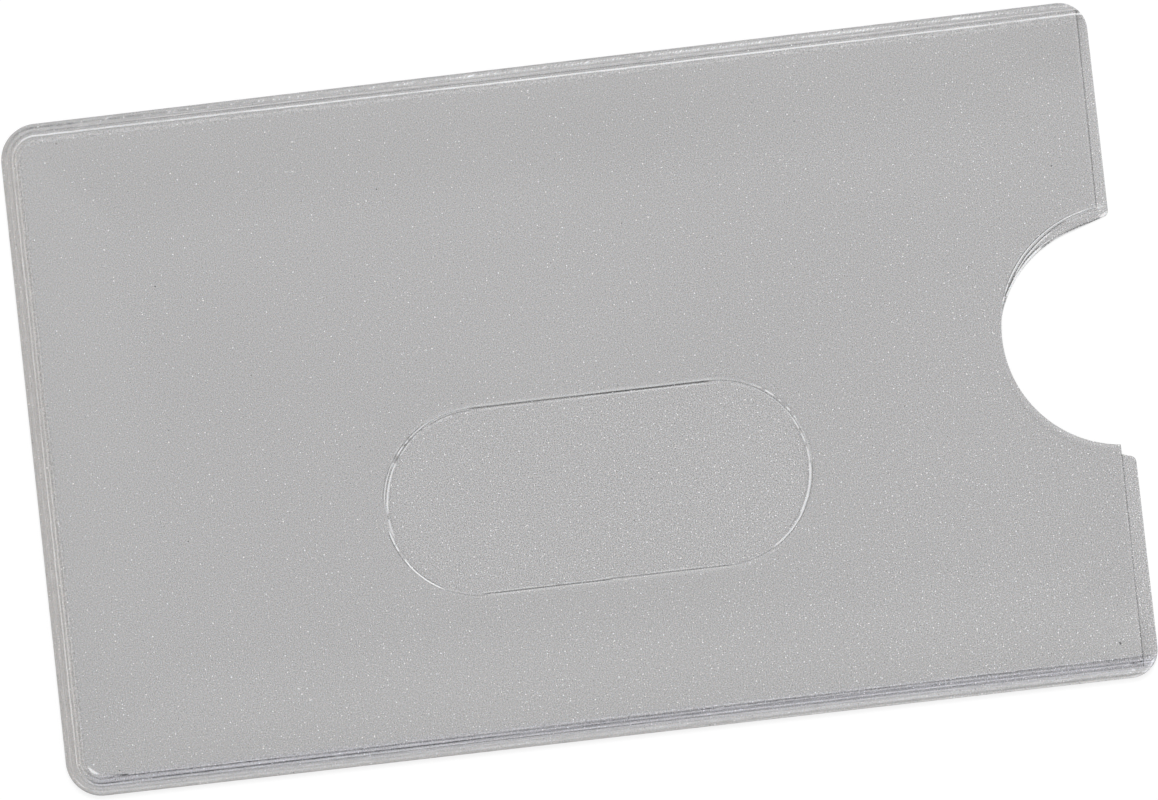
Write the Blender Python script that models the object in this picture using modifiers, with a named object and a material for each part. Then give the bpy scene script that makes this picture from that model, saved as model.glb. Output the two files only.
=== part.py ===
"""Card sleeve of two soft plastic films, welded to each other along three sides.

The sleeve lies on its rear film. +X points out of the open mouth, +Z points up through the
front film, and the thumb slot lies on the -Y side of the middle. The origin is under the
middle of the sleeve, on the surface that it lies on. Lengths are in metres.
"""

import math

import bmesh
import bpy

# The standard bank card that the pocket is made for.
CARD_LENGTH = 0.08560
CARD_WIDTH = 0.05398

# Room round the card, and how far the sleeve runs on past it at the mouth.
CARD_SIDE_PLAY = 0.00089
CARD_END_PLAY = 0.00050
MOUTH_OVERHANG = 0.00603

# The two films and the free height of the empty pocket between them.
FILM_THICKNESS = 0.00022
POCKET_HEIGHT = 0.00040

# The fused seam, and the running space between its inner side and the edges of the films.
WELD_WIDTH = 0.00087
WELD_GAP = 0.00030
BEAD_RISE = 0.00009
GROOVE_DEPTH = 0.00007

# The band along the seam where each film bends towards the other one.
MARGIN_RUN = 0.00066

# Rounded corners of the outline, seen from above.
CLOSED_CORNER_RADIUS = 0.00310
MOUTH_CORNER_RADIUS = 0.00240

# The front film's edge at the mouth lies behind the rear film's, a little askew.
LIP_INSET_PLUS_Y = 0.00077
LIP_INSET_MINUS_Y = 0.00134

# The half-round thumb notch in the front film. Its circle is centred just outside the mouth.
FRONT_NOTCH_RADIUS = 0.01012
FRONT_NOTCH_OFFSET = 0.00101
FRONT_NOTCH_CENTRE_OUTSIDE = 0.00003

# The thumb notch in the rear film. Its circle is centred inside the mouth, and it runs out to
# the mouth in two straight stretches that open up.
REAR_NOTCH_RADIUS = 0.00960
REAR_NOTCH_OFFSET = 0.00011
REAR_NOTCH_CENTRE_INSIDE = 0.00073
REAR_NOTCH_FLARE = math.radians(18)
REAR_NOTCH_TIP_RADIUS = 0.00055

# The long thumb slot in the front film.
SLOT_LENGTH = 0.03620
SLOT_WIDTH = 0.01574
SLOT_FROM_MOUTH = 0.04544
SLOT_OFFSET = 0.00750

# How far a cutter runs on past what it cuts.
CUT_OVERRUN = 0.00150

# Steps of a quarter circle in an outline.
QUARTER_STEPS = 14
FULL_TURN_QUARTERS = 4

# Smallest distance at which two mesh points count as one, and the angle of a sharp edge.
MERGE_DISTANCE = 0.0000002
SHARP_ANGLE = math.radians(30)

# Shape of a film's margin, as shares of its run and of its rise.
MARGIN_RUN_SHARES = (0.22, 0.28, 0.28, 0.22)
MARGIN_RISE_SHARES = (0.10, 0.40, 0.40, 0.10)

# Places across the seam's top, as shares of its width from the outer edge.
RIM_SHARE = 0.10
OUTER_GROOVE_SHARE = 0.26
BEAD_START_SHARE = 0.38
BEAD_CREST_SHARE = 0.54
BEAD_END_SHARE = 0.70
INNER_GROOVE_SHARE = 0.82

# Colours as linear red, green and blue.
FILM_GREY = (0.462, 0.462, 0.466)
REAR_FILM_GREY = (0.474, 0.474, 0.478)
WELD_GREY = (0.520, 0.508, 0.496)
FILM_ROUGHNESS = 0.42
WELD_ROUGHNESS = 0.30

# Sizes that follow from the ones above.
SLEEVE_WIDTH = CARD_WIDTH + 2 * (CARD_SIDE_PLAY + WELD_WIDTH)
SLEEVE_LENGTH = WELD_WIDTH + CARD_END_PLAY + CARD_LENGTH + MOUTH_OVERHANG
SLEEVE_HEIGHT = POCKET_HEIGHT + 2 * FILM_THICKNESS
FOOT_INSET = WELD_WIDTH + WELD_GAP
MARGIN_RISE = (POCKET_HEIGHT - WELD_GAP) / 2
MOUTH_X = SLEEVE_LENGTH / 2
SIDE_Y = SLEEVE_WIDTH / 2


def clear_scene():
    """Removes every object that the open file holds."""
    for item in list(bpy.data.objects):
        bpy.data.objects.remove(item, do_unlink=True)


def new_collection(name):
    """Adds a collection to the scene and returns it."""
    collection = bpy.data.collections.new(name)
    bpy.context.scene.collection.children.link(collection)
    return collection


def plastic(name, colour, roughness):
    """Makes a Principled material for one of the sleeve's parts."""
    material = bpy.data.materials.new(name)
    material.use_nodes = True
    shader = material.node_tree.nodes["Principled BSDF"]
    shader.inputs["Base Color"].default_value = (*colour, 1.0)
    shader.inputs["Roughness"].default_value = roughness
    shader.inputs["Metallic"].default_value = 0.0
    material.diffuse_color = (*colour, 1.0)
    return material


def arc(centre, radius, start, end, steps):
    """Points of an arc from one angle to another, both ends included."""
    points = []
    for step in range(steps + 1):
        angle = start + (end - start) * step / steps
        points.append((centre[0] + radius * math.cos(angle), centre[1] + radius * math.sin(angle)))
    return points


def rounded_outline(low_x, high_x, half_width, low_radius, high_radius):
    """Anticlockwise outline of a plate with one corner radius at each end."""
    right = math.pi / 2
    corners = (
        (high_x - high_radius, -half_width + high_radius, high_radius, -right),
        (high_x - high_radius, half_width - high_radius, high_radius, 0.0),
        (low_x + low_radius, half_width - low_radius, low_radius, right),
        (low_x + low_radius, -half_width + low_radius, low_radius, 2 * right),
    )
    points = []
    for x, y, radius, start in corners:
        points += arc((x, y), radius, start, start + right, QUARTER_STEPS)
    return points


def add_spline(curve, points, cyclic):
    """Adds a spline of straight stretches through flat points."""
    spline = curve.splines.new("POLY")
    spline.points.add(len(points) - 1)
    for point, (x, y) in zip(spline.points, points):
        point.co = (x, y, 0.0, 1.0)
    spline.use_cyclic_u = cyclic


def link_mesh(name, mesh, collection):
    """Adds an object that shows a mesh."""
    item = bpy.data.objects.new(name, mesh)
    collection.objects.link(item)
    return item


def mesh_of_curve(item, name, collection):
    """Turns a curve object into a closed mesh object in the same place, and removes the curve."""
    graph = bpy.context.evaluated_depsgraph_get()
    mesh = bpy.data.meshes.new_from_object(item.evaluated_get(graph))
    shape = bmesh.new()
    shape.from_mesh(mesh)
    bmesh.ops.remove_doubles(shape, verts=shape.verts, dist=MERGE_DISTANCE)
    bmesh.ops.recalc_face_normals(shape, faces=shape.faces)
    shape.to_mesh(mesh)
    shape.free()
    solid = link_mesh(name, mesh, collection)
    solid.matrix_world = item.matrix_world
    bpy.data.objects.remove(item, do_unlink=True)
    return solid


def flat_solid(name, points, low_z, high_z, collection):
    """A flat outline raised to a plate between two heights."""
    curve = bpy.data.curves.new(name, "CURVE")
    curve.dimensions = "2D"
    curve.fill_mode = "BOTH"
    curve.extrude = (high_z - low_z) / 2
    add_spline(curve, points, True)
    item = bpy.data.objects.new(name, curve)
    item.location.z = (high_z + low_z) / 2
    collection.objects.link(item)
    bpy.context.view_layer.update()
    return mesh_of_curve(item, name, collection)


def as_cutter(item):
    """Shows a solid as the guide of a cut."""
    item.hide_render = True
    item.display_type = "WIRE"
    return item


def cut(item, cutter):
    """Cuts a piece with a guide."""
    modifier = item.modifiers.new(cutter.name, "BOOLEAN")
    modifier.operation = "DIFFERENCE"
    modifier.solver = "EXACT"
    modifier.object = cutter


def corner_guide(side, cutters):
    """Prism outside one rounded corner of the mouth."""
    centre = (MOUTH_X - MOUTH_CORNER_RADIUS, side * (SIDE_Y - MOUTH_CORNER_RADIUS))
    start = math.pi / 2 * side
    curve = arc(centre, MOUTH_CORNER_RADIUS, start, 0.0, QUARTER_STEPS)
    outer_x = MOUTH_X + CUT_OVERRUN
    outer_y = side * (SIDE_Y + CUT_OVERRUN)
    points = [(centre[0], outer_y), *curve, (outer_x, centre[1]), (outer_x, outer_y)]
    name = "mouth_corner_plus_y" if side > 0 else "mouth_corner_minus_y"
    return as_cutter(flat_solid(name, points, -CUT_OVERRUN, SLEEVE_HEIGHT + CUT_OVERRUN, cutters))


def end_guide(cutters):
    """Block beyond the rear film's edge at the mouth."""
    reach = MOUTH_X + SIDE_Y
    side = SIDE_Y + CUT_OVERRUN
    points = [(MOUTH_X, -side), (reach, -side), (reach, side), (MOUTH_X, side)]
    return as_cutter(flat_solid("mouth_end", points, -CUT_OVERRUN,
                                SLEEVE_HEIGHT + CUT_OVERRUN, cutters))


def mouth_guides(cutters):
    """The solids that shape the sleeve's outline at the mouth."""
    return [end_guide(cutters), corner_guide(1, cutters), corner_guide(-1, cutters)]


def lip_guide(cutters):
    """Block beyond the front film's askew edge at the mouth."""
    reach = MOUTH_X + SIDE_Y
    points = [(MOUTH_X - LIP_INSET_MINUS_Y, -SIDE_Y), (reach, -SIDE_Y), (reach, SIDE_Y),
              (MOUTH_X - LIP_INSET_PLUS_Y, SIDE_Y)]
    return as_cutter(flat_solid("front_lip", points, -CUT_OVERRUN,
                                SLEEVE_HEIGHT + CUT_OVERRUN, cutters))


def front_notch_guide(cutters):
    """Disc that cuts the front film's thumb notch, and leaves its tips sharp."""
    centre = (MOUTH_X + FRONT_NOTCH_CENTRE_OUTSIDE, FRONT_NOTCH_OFFSET)
    steps = FULL_TURN_QUARTERS * QUARTER_STEPS
    points = arc(centre, FRONT_NOTCH_RADIUS, 0.0, 2 * math.pi, steps)[:-1]
    return as_cutter(flat_solid("front_notch", points, -CUT_OVERRUN,
                                SLEEVE_HEIGHT + CUT_OVERRUN, cutters))


def rear_notch_guide(cutters):
    """Prism that cuts the rear film's thumb notch, with its two tips rounded off.

    Each tip's small circle touches the edge of the mouth from inside and the notch's straight
    stretch from outside.
    """
    centre = (MOUTH_X - REAR_NOTCH_CENTRE_INSIDE, REAR_NOTCH_OFFSET)
    tip_x = MOUTH_X - REAR_NOTCH_TIP_RADIUS
    lean = (tip_x - centre[0]) * math.sin(REAR_NOTCH_FLARE)
    along = (REAR_NOTCH_RADIUS + REAR_NOTCH_TIP_RADIUS + lean) / math.cos(REAR_NOTCH_FLARE)
    right = math.pi / 2
    upper = arc((tip_x, centre[1] + along), REAR_NOTCH_TIP_RADIUS, 0.0,
                REAR_NOTCH_FLARE - right, QUARTER_STEPS)
    bow = arc(centre, REAR_NOTCH_RADIUS, right + REAR_NOTCH_FLARE, 3 * right - REAR_NOTCH_FLARE,
              2 * QUARTER_STEPS)
    lower = arc((tip_x, centre[1] - along), REAR_NOTCH_TIP_RADIUS, right - REAR_NOTCH_FLARE, 0.0,
                QUARTER_STEPS)
    outer_x = MOUTH_X + CUT_OVERRUN
    points = [(outer_x, centre[1] + along), *upper, *bow, *lower, (outer_x, centre[1] - along)]
    return as_cutter(flat_solid("rear_notch", points, -CUT_OVERRUN,
                                SLEEVE_HEIGHT + CUT_OVERRUN, cutters))


def slot_guide(cutters):
    """Prism that cuts the thumb slot, with its two half-round ends."""
    radius = SLOT_WIDTH / 2
    middle_x = MOUTH_X - SLOT_FROM_MOUTH
    reach = SLOT_LENGTH / 2 - radius
    right = math.pi / 2
    points = arc((middle_x + reach, -SLOT_OFFSET), radius, -right, right, 2 * QUARTER_STEPS)
    points += arc((middle_x - reach, -SLOT_OFFSET), radius, right, 3 * right, 2 * QUARTER_STEPS)
    return as_cutter(flat_solid("thumb_slot", points, -CUT_OVERRUN,
                                SLEEVE_HEIGHT + CUT_OVERRUN, cutters))


def film(name, foot_z, flat_z, material, collection):
    """One film: flat in the middle, and bent towards the other film along its margin.

    The blank is one sheet with a margin all round, longer than the sleeve, so that only its
    straight sides are left once it is cut off at the mouth. The heights are those of the
    sheet's middle surface.
    """
    radius = CLOSED_CORNER_RADIUS - FOOT_INSET
    points = rounded_outline(-MOUTH_X + FOOT_INSET, MOUTH_X + radius + MARGIN_RUN + CUT_OVERRUN,
                             SIDE_Y - FOOT_INSET, radius, radius)
    shape = bmesh.new()
    sheet = shape.faces.new([shape.verts.new((x, y, foot_z)) for x, y in points])
    shape.normal_update()
    for run, rise in zip(MARGIN_RUN_SHARES, MARGIN_RISE_SHARES):
        bmesh.ops.inset_region(shape, faces=[sheet], thickness=run * MARGIN_RUN,
                               depth=rise * (flat_z - foot_z), use_boundary=True,
                               use_even_offset=True)
    mesh = bpy.data.meshes.new(name)
    shape.to_mesh(mesh)
    shape.free()
    item = link_mesh(name, mesh, collection)
    wall = item.modifiers.new("film thickness", "SOLIDIFY")
    wall.thickness = FILM_THICKNESS
    wall.offset = 0.0
    wall.use_even_offset = True
    mesh.materials.append(material)
    return item


def make_rear_film(collection, cutters, mouth):
    """The whole rear film, which the sleeve lies on."""
    middle = FILM_THICKNESS / 2
    material = plastic("rear film", REAR_FILM_GREY, FILM_ROUGHNESS)
    item = film("rear_film", middle + MARGIN_RISE, middle, material, collection)
    for guide in mouth:
        cut(item, guide)
    cut(item, rear_notch_guide(cutters))
    return item


def make_front_film(collection, cutters):
    """The front film, shorter at the mouth, with the thumb slot in it."""
    middle = SLEEVE_HEIGHT - FILM_THICKNESS / 2
    material = plastic("front film", FILM_GREY, FILM_ROUGHNESS)
    item = film("front_film", middle - MARGIN_RISE, middle, material, collection)
    for guide in (lip_guide(cutters), front_notch_guide(cutters), slot_guide(cutters)):
        cut(item, guide)
    return item


def weld_profile():
    """Cross-section of the seam: its place across from the middle, and its height.

    The electrode's bead stands up between two grooves, and the underside is flat.
    """
    low = SLEEVE_HEIGHT / 2 - FILM_THICKNESS
    high = SLEEVE_HEIGHT / 2 + FILM_THICKNESS
    rim = RIM_SHARE * WELD_WIDTH
    top = (
        (RIM_SHARE, high),
        (OUTER_GROOVE_SHARE, high - GROOVE_DEPTH),
        (BEAD_START_SHARE, high),
        (BEAD_CREST_SHARE, high + BEAD_RISE),
        (BEAD_END_SHARE, high),
        (INNER_GROOVE_SHARE, high - GROOVE_DEPTH),
    )
    half = WELD_WIDTH / 2
    section = [(-half, low + rim), (-half, high - rim)]
    section += [(share * WELD_WIDTH - half, height) for share, height in top]
    section += [(half, high - GROOVE_DEPTH), (half, low), (rim - half, low)]
    return section


def weld_path():
    """Middle line of the seam: in from the mouth, round the closed end, and out again.

    It runs clockwise, so that the section's first side is the outer one.
    """
    inset = WELD_WIDTH / 2
    radius = CLOSED_CORNER_RADIUS - inset
    low_x = -MOUTH_X + inset + radius
    side = SIDE_Y - inset
    right = math.pi / 2
    mouth_end = MOUTH_X + CUT_OVERRUN
    path = [(mouth_end, -side)]
    path += arc((low_x, radius - side), radius, 3 * right, 2 * right, QUARTER_STEPS)
    path += arc((low_x, side - radius), radius, 2 * right, right, QUARTER_STEPS)
    path.append((mouth_end, side))
    return path


def make_weld_seam(collection, cutters, mouth):
    """The fused seam round the two long sides and the closed end."""
    section = bpy.data.curves.new("weld_section", "CURVE")
    section.dimensions = "2D"
    section.fill_mode = "NONE"
    add_spline(section, weld_profile(), True)
    section_item = bpy.data.objects.new("weld_section", section)
    cutters.objects.link(as_cutter(section_item))

    path = bpy.data.curves.new("weld_path", "CURVE")
    path.dimensions = "3D"
    path.twist_mode = "Z_UP"
    path.bevel_mode = "OBJECT"
    path.bevel_object = section_item
    path.use_fill_caps = True
    add_spline(path, weld_path(), False)
    path_item = bpy.data.objects.new("weld_path", path)
    collection.objects.link(path_item)
    bpy.context.view_layer.update()

    item = mesh_of_curve(path_item, "weld_seam", collection)
    item.data.materials.clear()
    item.data.materials.append(plastic("weld", WELD_GREY, WELD_ROUGHNESS))
    for guide in mouth:
        cut(item, guide)
    return item


def main():
    """Makes the sleeve's three parts and shades them."""
    clear_scene()
    sleeve = new_collection("card_sleeve")
    cutters = new_collection("cutters")
    mouth = mouth_guides(cutters)
    parts = [make_rear_film(sleeve, cutters, mouth), make_front_film(sleeve, cutters),
             make_weld_seam(sleeve, cutters, mouth)]
    for part in parts:
        part.data.shade_smooth()
        part.data.set_sharp_from_angle(angle=SHARP_ANGLE)


main()
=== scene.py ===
"""Looks of a soft plastic card sleeve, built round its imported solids.

The sleeve is two vinyl films that are fused to each other along three sides. +X points out of
the open mouth and +Z up through the front film. Sizes in the plan are in millimetres, and the
meshes are in metres, in the same frame as the solids.
"""

import logging
import math
from abc import ABC, abstractmethod
from dataclasses import dataclass, field
from enum import Enum
from functools import cached_property

import bpy
import numpy as np
from mathutils import Euler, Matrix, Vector
from mathutils.geometry import delaunay_2d_cdt


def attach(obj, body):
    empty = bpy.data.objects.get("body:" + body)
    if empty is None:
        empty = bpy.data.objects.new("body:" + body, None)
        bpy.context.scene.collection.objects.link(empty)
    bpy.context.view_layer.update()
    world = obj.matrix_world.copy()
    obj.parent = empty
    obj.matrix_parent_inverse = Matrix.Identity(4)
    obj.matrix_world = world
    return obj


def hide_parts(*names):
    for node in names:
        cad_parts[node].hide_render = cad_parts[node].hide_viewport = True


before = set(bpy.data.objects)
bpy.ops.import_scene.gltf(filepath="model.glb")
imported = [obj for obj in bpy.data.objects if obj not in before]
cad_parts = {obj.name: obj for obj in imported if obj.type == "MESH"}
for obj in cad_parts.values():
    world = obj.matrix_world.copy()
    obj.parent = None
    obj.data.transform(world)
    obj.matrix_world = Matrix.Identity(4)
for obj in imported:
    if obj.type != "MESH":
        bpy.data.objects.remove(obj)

LOG = logging.getLogger("card_sleeve")
MM = 0.001
QUARTER = math.pi / 2
PHOTO_WIDTH = 1158
ROOT = "root"
WANDER_LENGTH = 260.0
TINY = 1e-5
FADE = 0.8
BREAK_PITCH = 0.33
BREAK_EDGE = 0.5
DRIFT = 0.015
DRIFT_PITCH = 1.6
MARK_EDGE = 0.4

Values = np.ndarray
Pair = tuple[float, float]
Triple = tuple[float, float, float]
Line = list[Pair]
Rows = tuple[tuple, ...]
Node = bpy.types.Node
Socket = bpy.types.NodeSocket
Feed = Socket | float | tuple


class Side(Enum):
    """The three welded sides, as the camera sees them."""

    UPPER = "upper"
    CLOSED = "closed"
    LOWER = "lower"


def eased(value: Values) -> Values:
    """Smooth step from 0 to 1 while the value runs from 0 to 1."""
    clipped = np.clip(value, 0.0, 1.0)
    return clipped * clipped * (3.0 - 2.0 * clipped)


def bell(value: Values, centre: float, reach: float) -> Values:
    """Smooth bump that is 1 at its centre and 0 from its reach on."""
    return eased(1.0 - np.abs(value - centre) / reach)


def wander(seed: int, pitch: float, place: Values) -> Values:
    """Smooth value between -1 and 1 that wanders along a line, the same on every run.

    Args:
        seed: Number that fixes the pattern.
        pitch: Distance between two of its knots.
        place: Distances from the line's start.

    Returns:
        One value for each place.
    """
    count = int(WANDER_LENGTH / pitch) + 3
    knots = np.random.default_rng(seed).uniform(-1.0, 1.0, count)
    steps = np.clip(place / pitch, 0.0, count - 1.001)
    low = np.floor(steps).astype(int)
    share = eased(steps - low)
    return knots[low] * (1.0 - share) + knots[low + 1] * share


def straight(start: Pair, end: Pair, step: float) -> Line:
    """Points of a straight line, both ends included, at most one step apart.

    Args:
        start: First point.
        end: Last point.
        step: Longest distance between two points.

    Returns:
        The points in order.
    """
    count = max(1, math.ceil(math.dist(start, end) / step))
    return [(start[0] + (end[0] - start[0]) * i / count,
             start[1] + (end[1] - start[1]) * i / count) for i in range(count + 1)]


def joined(*lines: Line) -> Line:
    """One line from several, each of which starts where the one before ends."""
    return lines[0] + [point for line in lines[1:] for point in line[1:]]


@dataclass(frozen=True)
class Circle:
    """A circle in the plan."""

    x: float
    y: float
    radius: float

    def away(self, x: Values, y: Values) -> Values:
        """Distance outwards from the circle."""
        return np.hypot(x - self.x, y - self.y) - self.radius

    def run(self, x: Values, y: Values) -> Values:
        """Distance along the circle, anticlockwise from its point towards +X."""
        return np.arctan2(y - self.y, x - self.x) % (2 * math.pi) * self.radius

    def arc(self, start: float, end: float, step: float, grown: float = 0.0) -> Line:
        """Points of an arc, both ends included.

        Args:
            start: First angle, in radians.
            end: Last angle, in radians.
            step: Longest distance between two points.
            grown: How far outside the circle the arc lies.

        Returns:
            The points in order.
        """
        radius = self.radius + grown
        count = max(4, math.ceil(abs(end - start) * radius / step))
        return [(self.x + radius * math.cos(a), self.y + radius * math.sin(a))
                for a in np.linspace(start, end, count + 1)]


@dataclass(frozen=True)
class Plan:
    """Sizes of the sleeve seen from above. Those from mouth_x on follow from the ones before."""

    length: float = 93.00
    width: float = 57.50
    film: float = 0.22
    weld_width: float = 0.87
    closed_radius: float = 3.10
    mouth_radius: float = 2.40
    lip_inset_upper: float = 0.77
    lip_inset_lower: float = 1.34
    rear_tip_radius: float = 0.55
    slot_length: float = 36.20
    slot_width: float = 15.74
    slot_from_mouth: float = 45.44
    slot_offset: float = 7.50
    flare: float = math.radians(18.0)
    mouth_x: float = length / 2
    side_y: float = width / 2
    lip_skew: float = lip_inset_lower - lip_inset_upper
    front_notch: Circle = Circle(mouth_x + 0.03, 1.01, 10.12)
    rear_notch: Circle = Circle(mouth_x - 0.73, 0.11, 9.60)
    tip_x: float = mouth_x - rear_tip_radius
    tip_y: float = (rear_notch.radius + rear_tip_radius
                    + (tip_x - rear_notch.x) * math.sin(flare)) / math.cos(flare)
    slot_radius: float = slot_width / 2
    slot_x: float = mouth_x - slot_from_mouth
    slot_reach: float = slot_length / 2 - slot_radius

    def lip_x(self, y: Values) -> Values:
        """X of the front film's askew edge at the mouth."""
        return (self.mouth_x - self.lip_inset_lower
                + (y + self.side_y) / self.width * self.lip_skew)


PLAN = Plan()


class Spots:
    """Places in the plan, with their distances from the edges of the sleeve and of its cuts."""

    def __init__(self, x: Values, y: Values) -> None:
        """Measures where the places lie in the closed corners.

        Args:
            x: Their X.
            y: Their Y.
        """
        self.x, self.y = x, y
        self.from_end, self.from_side = x + PLAN.mouth_x, PLAN.side_y - np.abs(y)
        self.corner_x = PLAN.closed_radius - self.from_end
        self.corner_y = PLAN.closed_radius - self.from_side
        self.turning = (self.corner_x > 0) & (self.corner_y > 0)

    @cached_property
    def inward(self) -> Values:
        """Distance inwards from the outer edge of the three welded sides."""
        corner = PLAN.closed_radius - np.hypot(self.corner_x, self.corner_y)
        return np.where(self.turning, corner, np.minimum(self.from_end, self.from_side))

    @cached_property
    def shares(self) -> dict[Side, Values]:
        """How far each place belongs to each welded side, mixed round the corners.

        Returns:
            For each side a share from 0 to 1. The shares of a place add up to 1.
        """
        plain = np.where(self.corner_x > self.corner_y, 0.0, QUARTER)
        angle = np.where(self.turning, np.arctan2(self.corner_y, self.corner_x), plain)
        along = np.sin(angle) ** 2
        return {Side.UPPER: along * (self.y > 0), Side.LOWER: along * (self.y <= 0),
                Side.CLOSED: 1.0 - along}

    @cached_property
    def run(self) -> Values:
        """Distance along the welded sides.

        Returns:
            Distances from the lower end of the mouth, round the closed end, to the upper one.
        """
        side = PLAN.length - PLAN.closed_radius
        corner = PLAN.closed_radius * QUARTER
        turned = PLAN.closed_radius * np.arctan2(self.corner_x, self.corner_y)
        lower = np.where(self.turning, side + turned, PLAN.mouth_x - self.x)
        total = 2 * side + 2 * corner + (PLAN.width - 2 * PLAN.closed_radius)
        closed = side + corner + (PLAN.side_y - PLAN.closed_radius) + self.y
        on_side = (self.corner_y >= self.corner_x) | self.turning
        return np.where(on_side, np.where(self.y > 0, total - lower, lower), closed)

    @cached_property
    def mouth(self) -> Values:
        """Distance inwards from the rear film's edge at the mouth, with its rounded corners.

        Returns:
            One distance for each place, less than 0 outside the edge.
        """
        back, radius = PLAN.mouth_x - self.x, PLAN.mouth_radius
        corner = radius - np.hypot(radius - back, radius - self.from_side)
        return np.where((back < radius) & (self.from_side < radius), corner, back)

    @cached_property
    def lip(self) -> Values:
        """Distance inwards from the front film's edge at the mouth."""
        return (PLAN.lip_x(self.y) - self.x) * math.cos(math.atan2(PLAN.lip_skew, PLAN.width))

    @cached_property
    def front_notch(self) -> Values:
        """Distance outwards from the front film's notch."""
        return PLAN.front_notch.away(self.x, self.y)

    @cached_property
    def rear_notch(self) -> Values:
        """Distance outwards from the rear film's notch, a circle with two straight ends.

        Returns:
            One distance for each place, less than 0 in the notch.
        """
        off_x, off_y = self.x - PLAN.rear_notch.x, np.abs(self.y - PLAN.rear_notch.y)
        past = math.cos(PLAN.flare) * off_x + math.sin(PLAN.flare) * off_y
        end = math.cos(PLAN.flare) * off_y - math.sin(PLAN.flare) * off_x
        return np.where(past > 0, end, np.hypot(off_x, off_y)) - PLAN.rear_notch.radius

    @cached_property
    def rear_end(self) -> Values:
        """Distance inwards from the rear film's whole edge at the mouth, with its round tips.

        Returns:
            One distance for each place, less than 0 outside the edge.
        """
        to_x, to_y = self.x - PLAN.tip_x, np.abs(self.y - PLAN.rear_notch.y) - PLAN.tip_y
        past = math.cos(PLAN.flare) * to_x + math.sin(PLAN.flare) * to_y
        tip = PLAN.rear_tip_radius - np.hypot(to_x, to_y)
        plain = np.minimum(self.mouth, self.rear_notch)
        return np.where((to_y <= 0) & (past >= 0), tip, plain)

    @cached_property
    def slot(self) -> Values:
        """Distance outwards from the edge of the thumb slot."""
        past = np.maximum(np.abs(self.x - PLAN.slot_x) - PLAN.slot_reach, 0.0)
        return np.hypot(past, self.y + PLAN.slot_offset) - PLAN.slot_radius

    @cached_property
    def slot_run(self) -> Values:
        """Distance along the slot's edge, anticlockwise from its point towards +X.

        Returns:
            One distance for each place, from 0 to the slot's length round.
        """
        reach, quarter = PLAN.slot_reach, PLAN.slot_radius * QUARTER
        off_x, off_y = self.x - PLAN.slot_x, self.y + PLAN.slot_offset
        end_x = np.where(off_x > 0, reach, -reach)
        turned = PLAN.slot_radius * (np.arctan2(off_y, off_x - end_x) % (2 * math.pi))
        right = np.where(off_y > 0, turned, 4 * reach + turned)
        end = np.where(off_x > 0, right, 2 * reach + turned)
        side = np.where(off_y > 0, quarter + reach - off_x, 3 * quarter + 3 * reach + off_x)
        return np.where(np.abs(off_x) > reach, end, side)


def slot_line(grown: float, step: float) -> Line:
    """Closed line round the slot.

    Args:
        grown: Its distance outside the slot's edge.
        step: Longest distance between two points.

    Returns:
        The points, with the first one again at the end.
    """
    left, right = PLAN.slot_x - PLAN.slot_reach, PLAN.slot_x + PLAN.slot_reach
    middle, radius = -PLAN.slot_offset, PLAN.slot_radius + grown
    return joined(
        Circle(right, middle, radius).arc(-QUARTER, QUARTER, step),
        straight((right, middle + radius), (left, middle + radius), step),
        Circle(left, middle, radius).arc(QUARTER, 3 * QUARTER, step),
        straight((left, middle - radius), (right, middle - radius), step))


def welded_line(inward: float, step: float, ends: Pair) -> Line:
    """Line at one distance inside the welded sides.

    Args:
        inward: Distance from the outer edge.
        step: Longest distance between two points.
        ends: X of the lower and of the upper end of the line.

    Returns:
        Points from the lower end of the mouth to the upper one.
    """
    radius = PLAN.closed_radius - inward
    corner_x, corner_y = -PLAN.mouth_x + PLAN.closed_radius, PLAN.side_y - PLAN.closed_radius
    end_x, side_y = inward - PLAN.mouth_x, PLAN.side_y - inward
    corner_step = step * max(radius, 0.8) / PLAN.closed_radius
    return joined(
        straight((ends[0], -side_y), (corner_x, -side_y), step),
        Circle(corner_x, -corner_y, radius).arc(-QUARTER, -2 * QUARTER, corner_step),
        straight((end_x, -corner_y), (end_x, corner_y), step),
        Circle(corner_x, corner_y, radius).arc(2 * QUARTER, QUARTER, corner_step),
        straight((corner_x, side_y), (ends[1], side_y), step))


def mouth_end(inward: float) -> float:
    """X where a line at one distance inside the long sides meets the rear film's outline."""
    short = max(PLAN.mouth_radius - inward, 0.0)
    return PLAN.mouth_x - PLAN.mouth_radius + math.sqrt(PLAN.mouth_radius ** 2 - short ** 2)


@dataclass(frozen=True)
class Crease:
    """One step in height across the seam, which may drift inwards towards the mouth."""

    at: float
    rise: float
    run: float
    drift: float = 0.0


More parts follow.
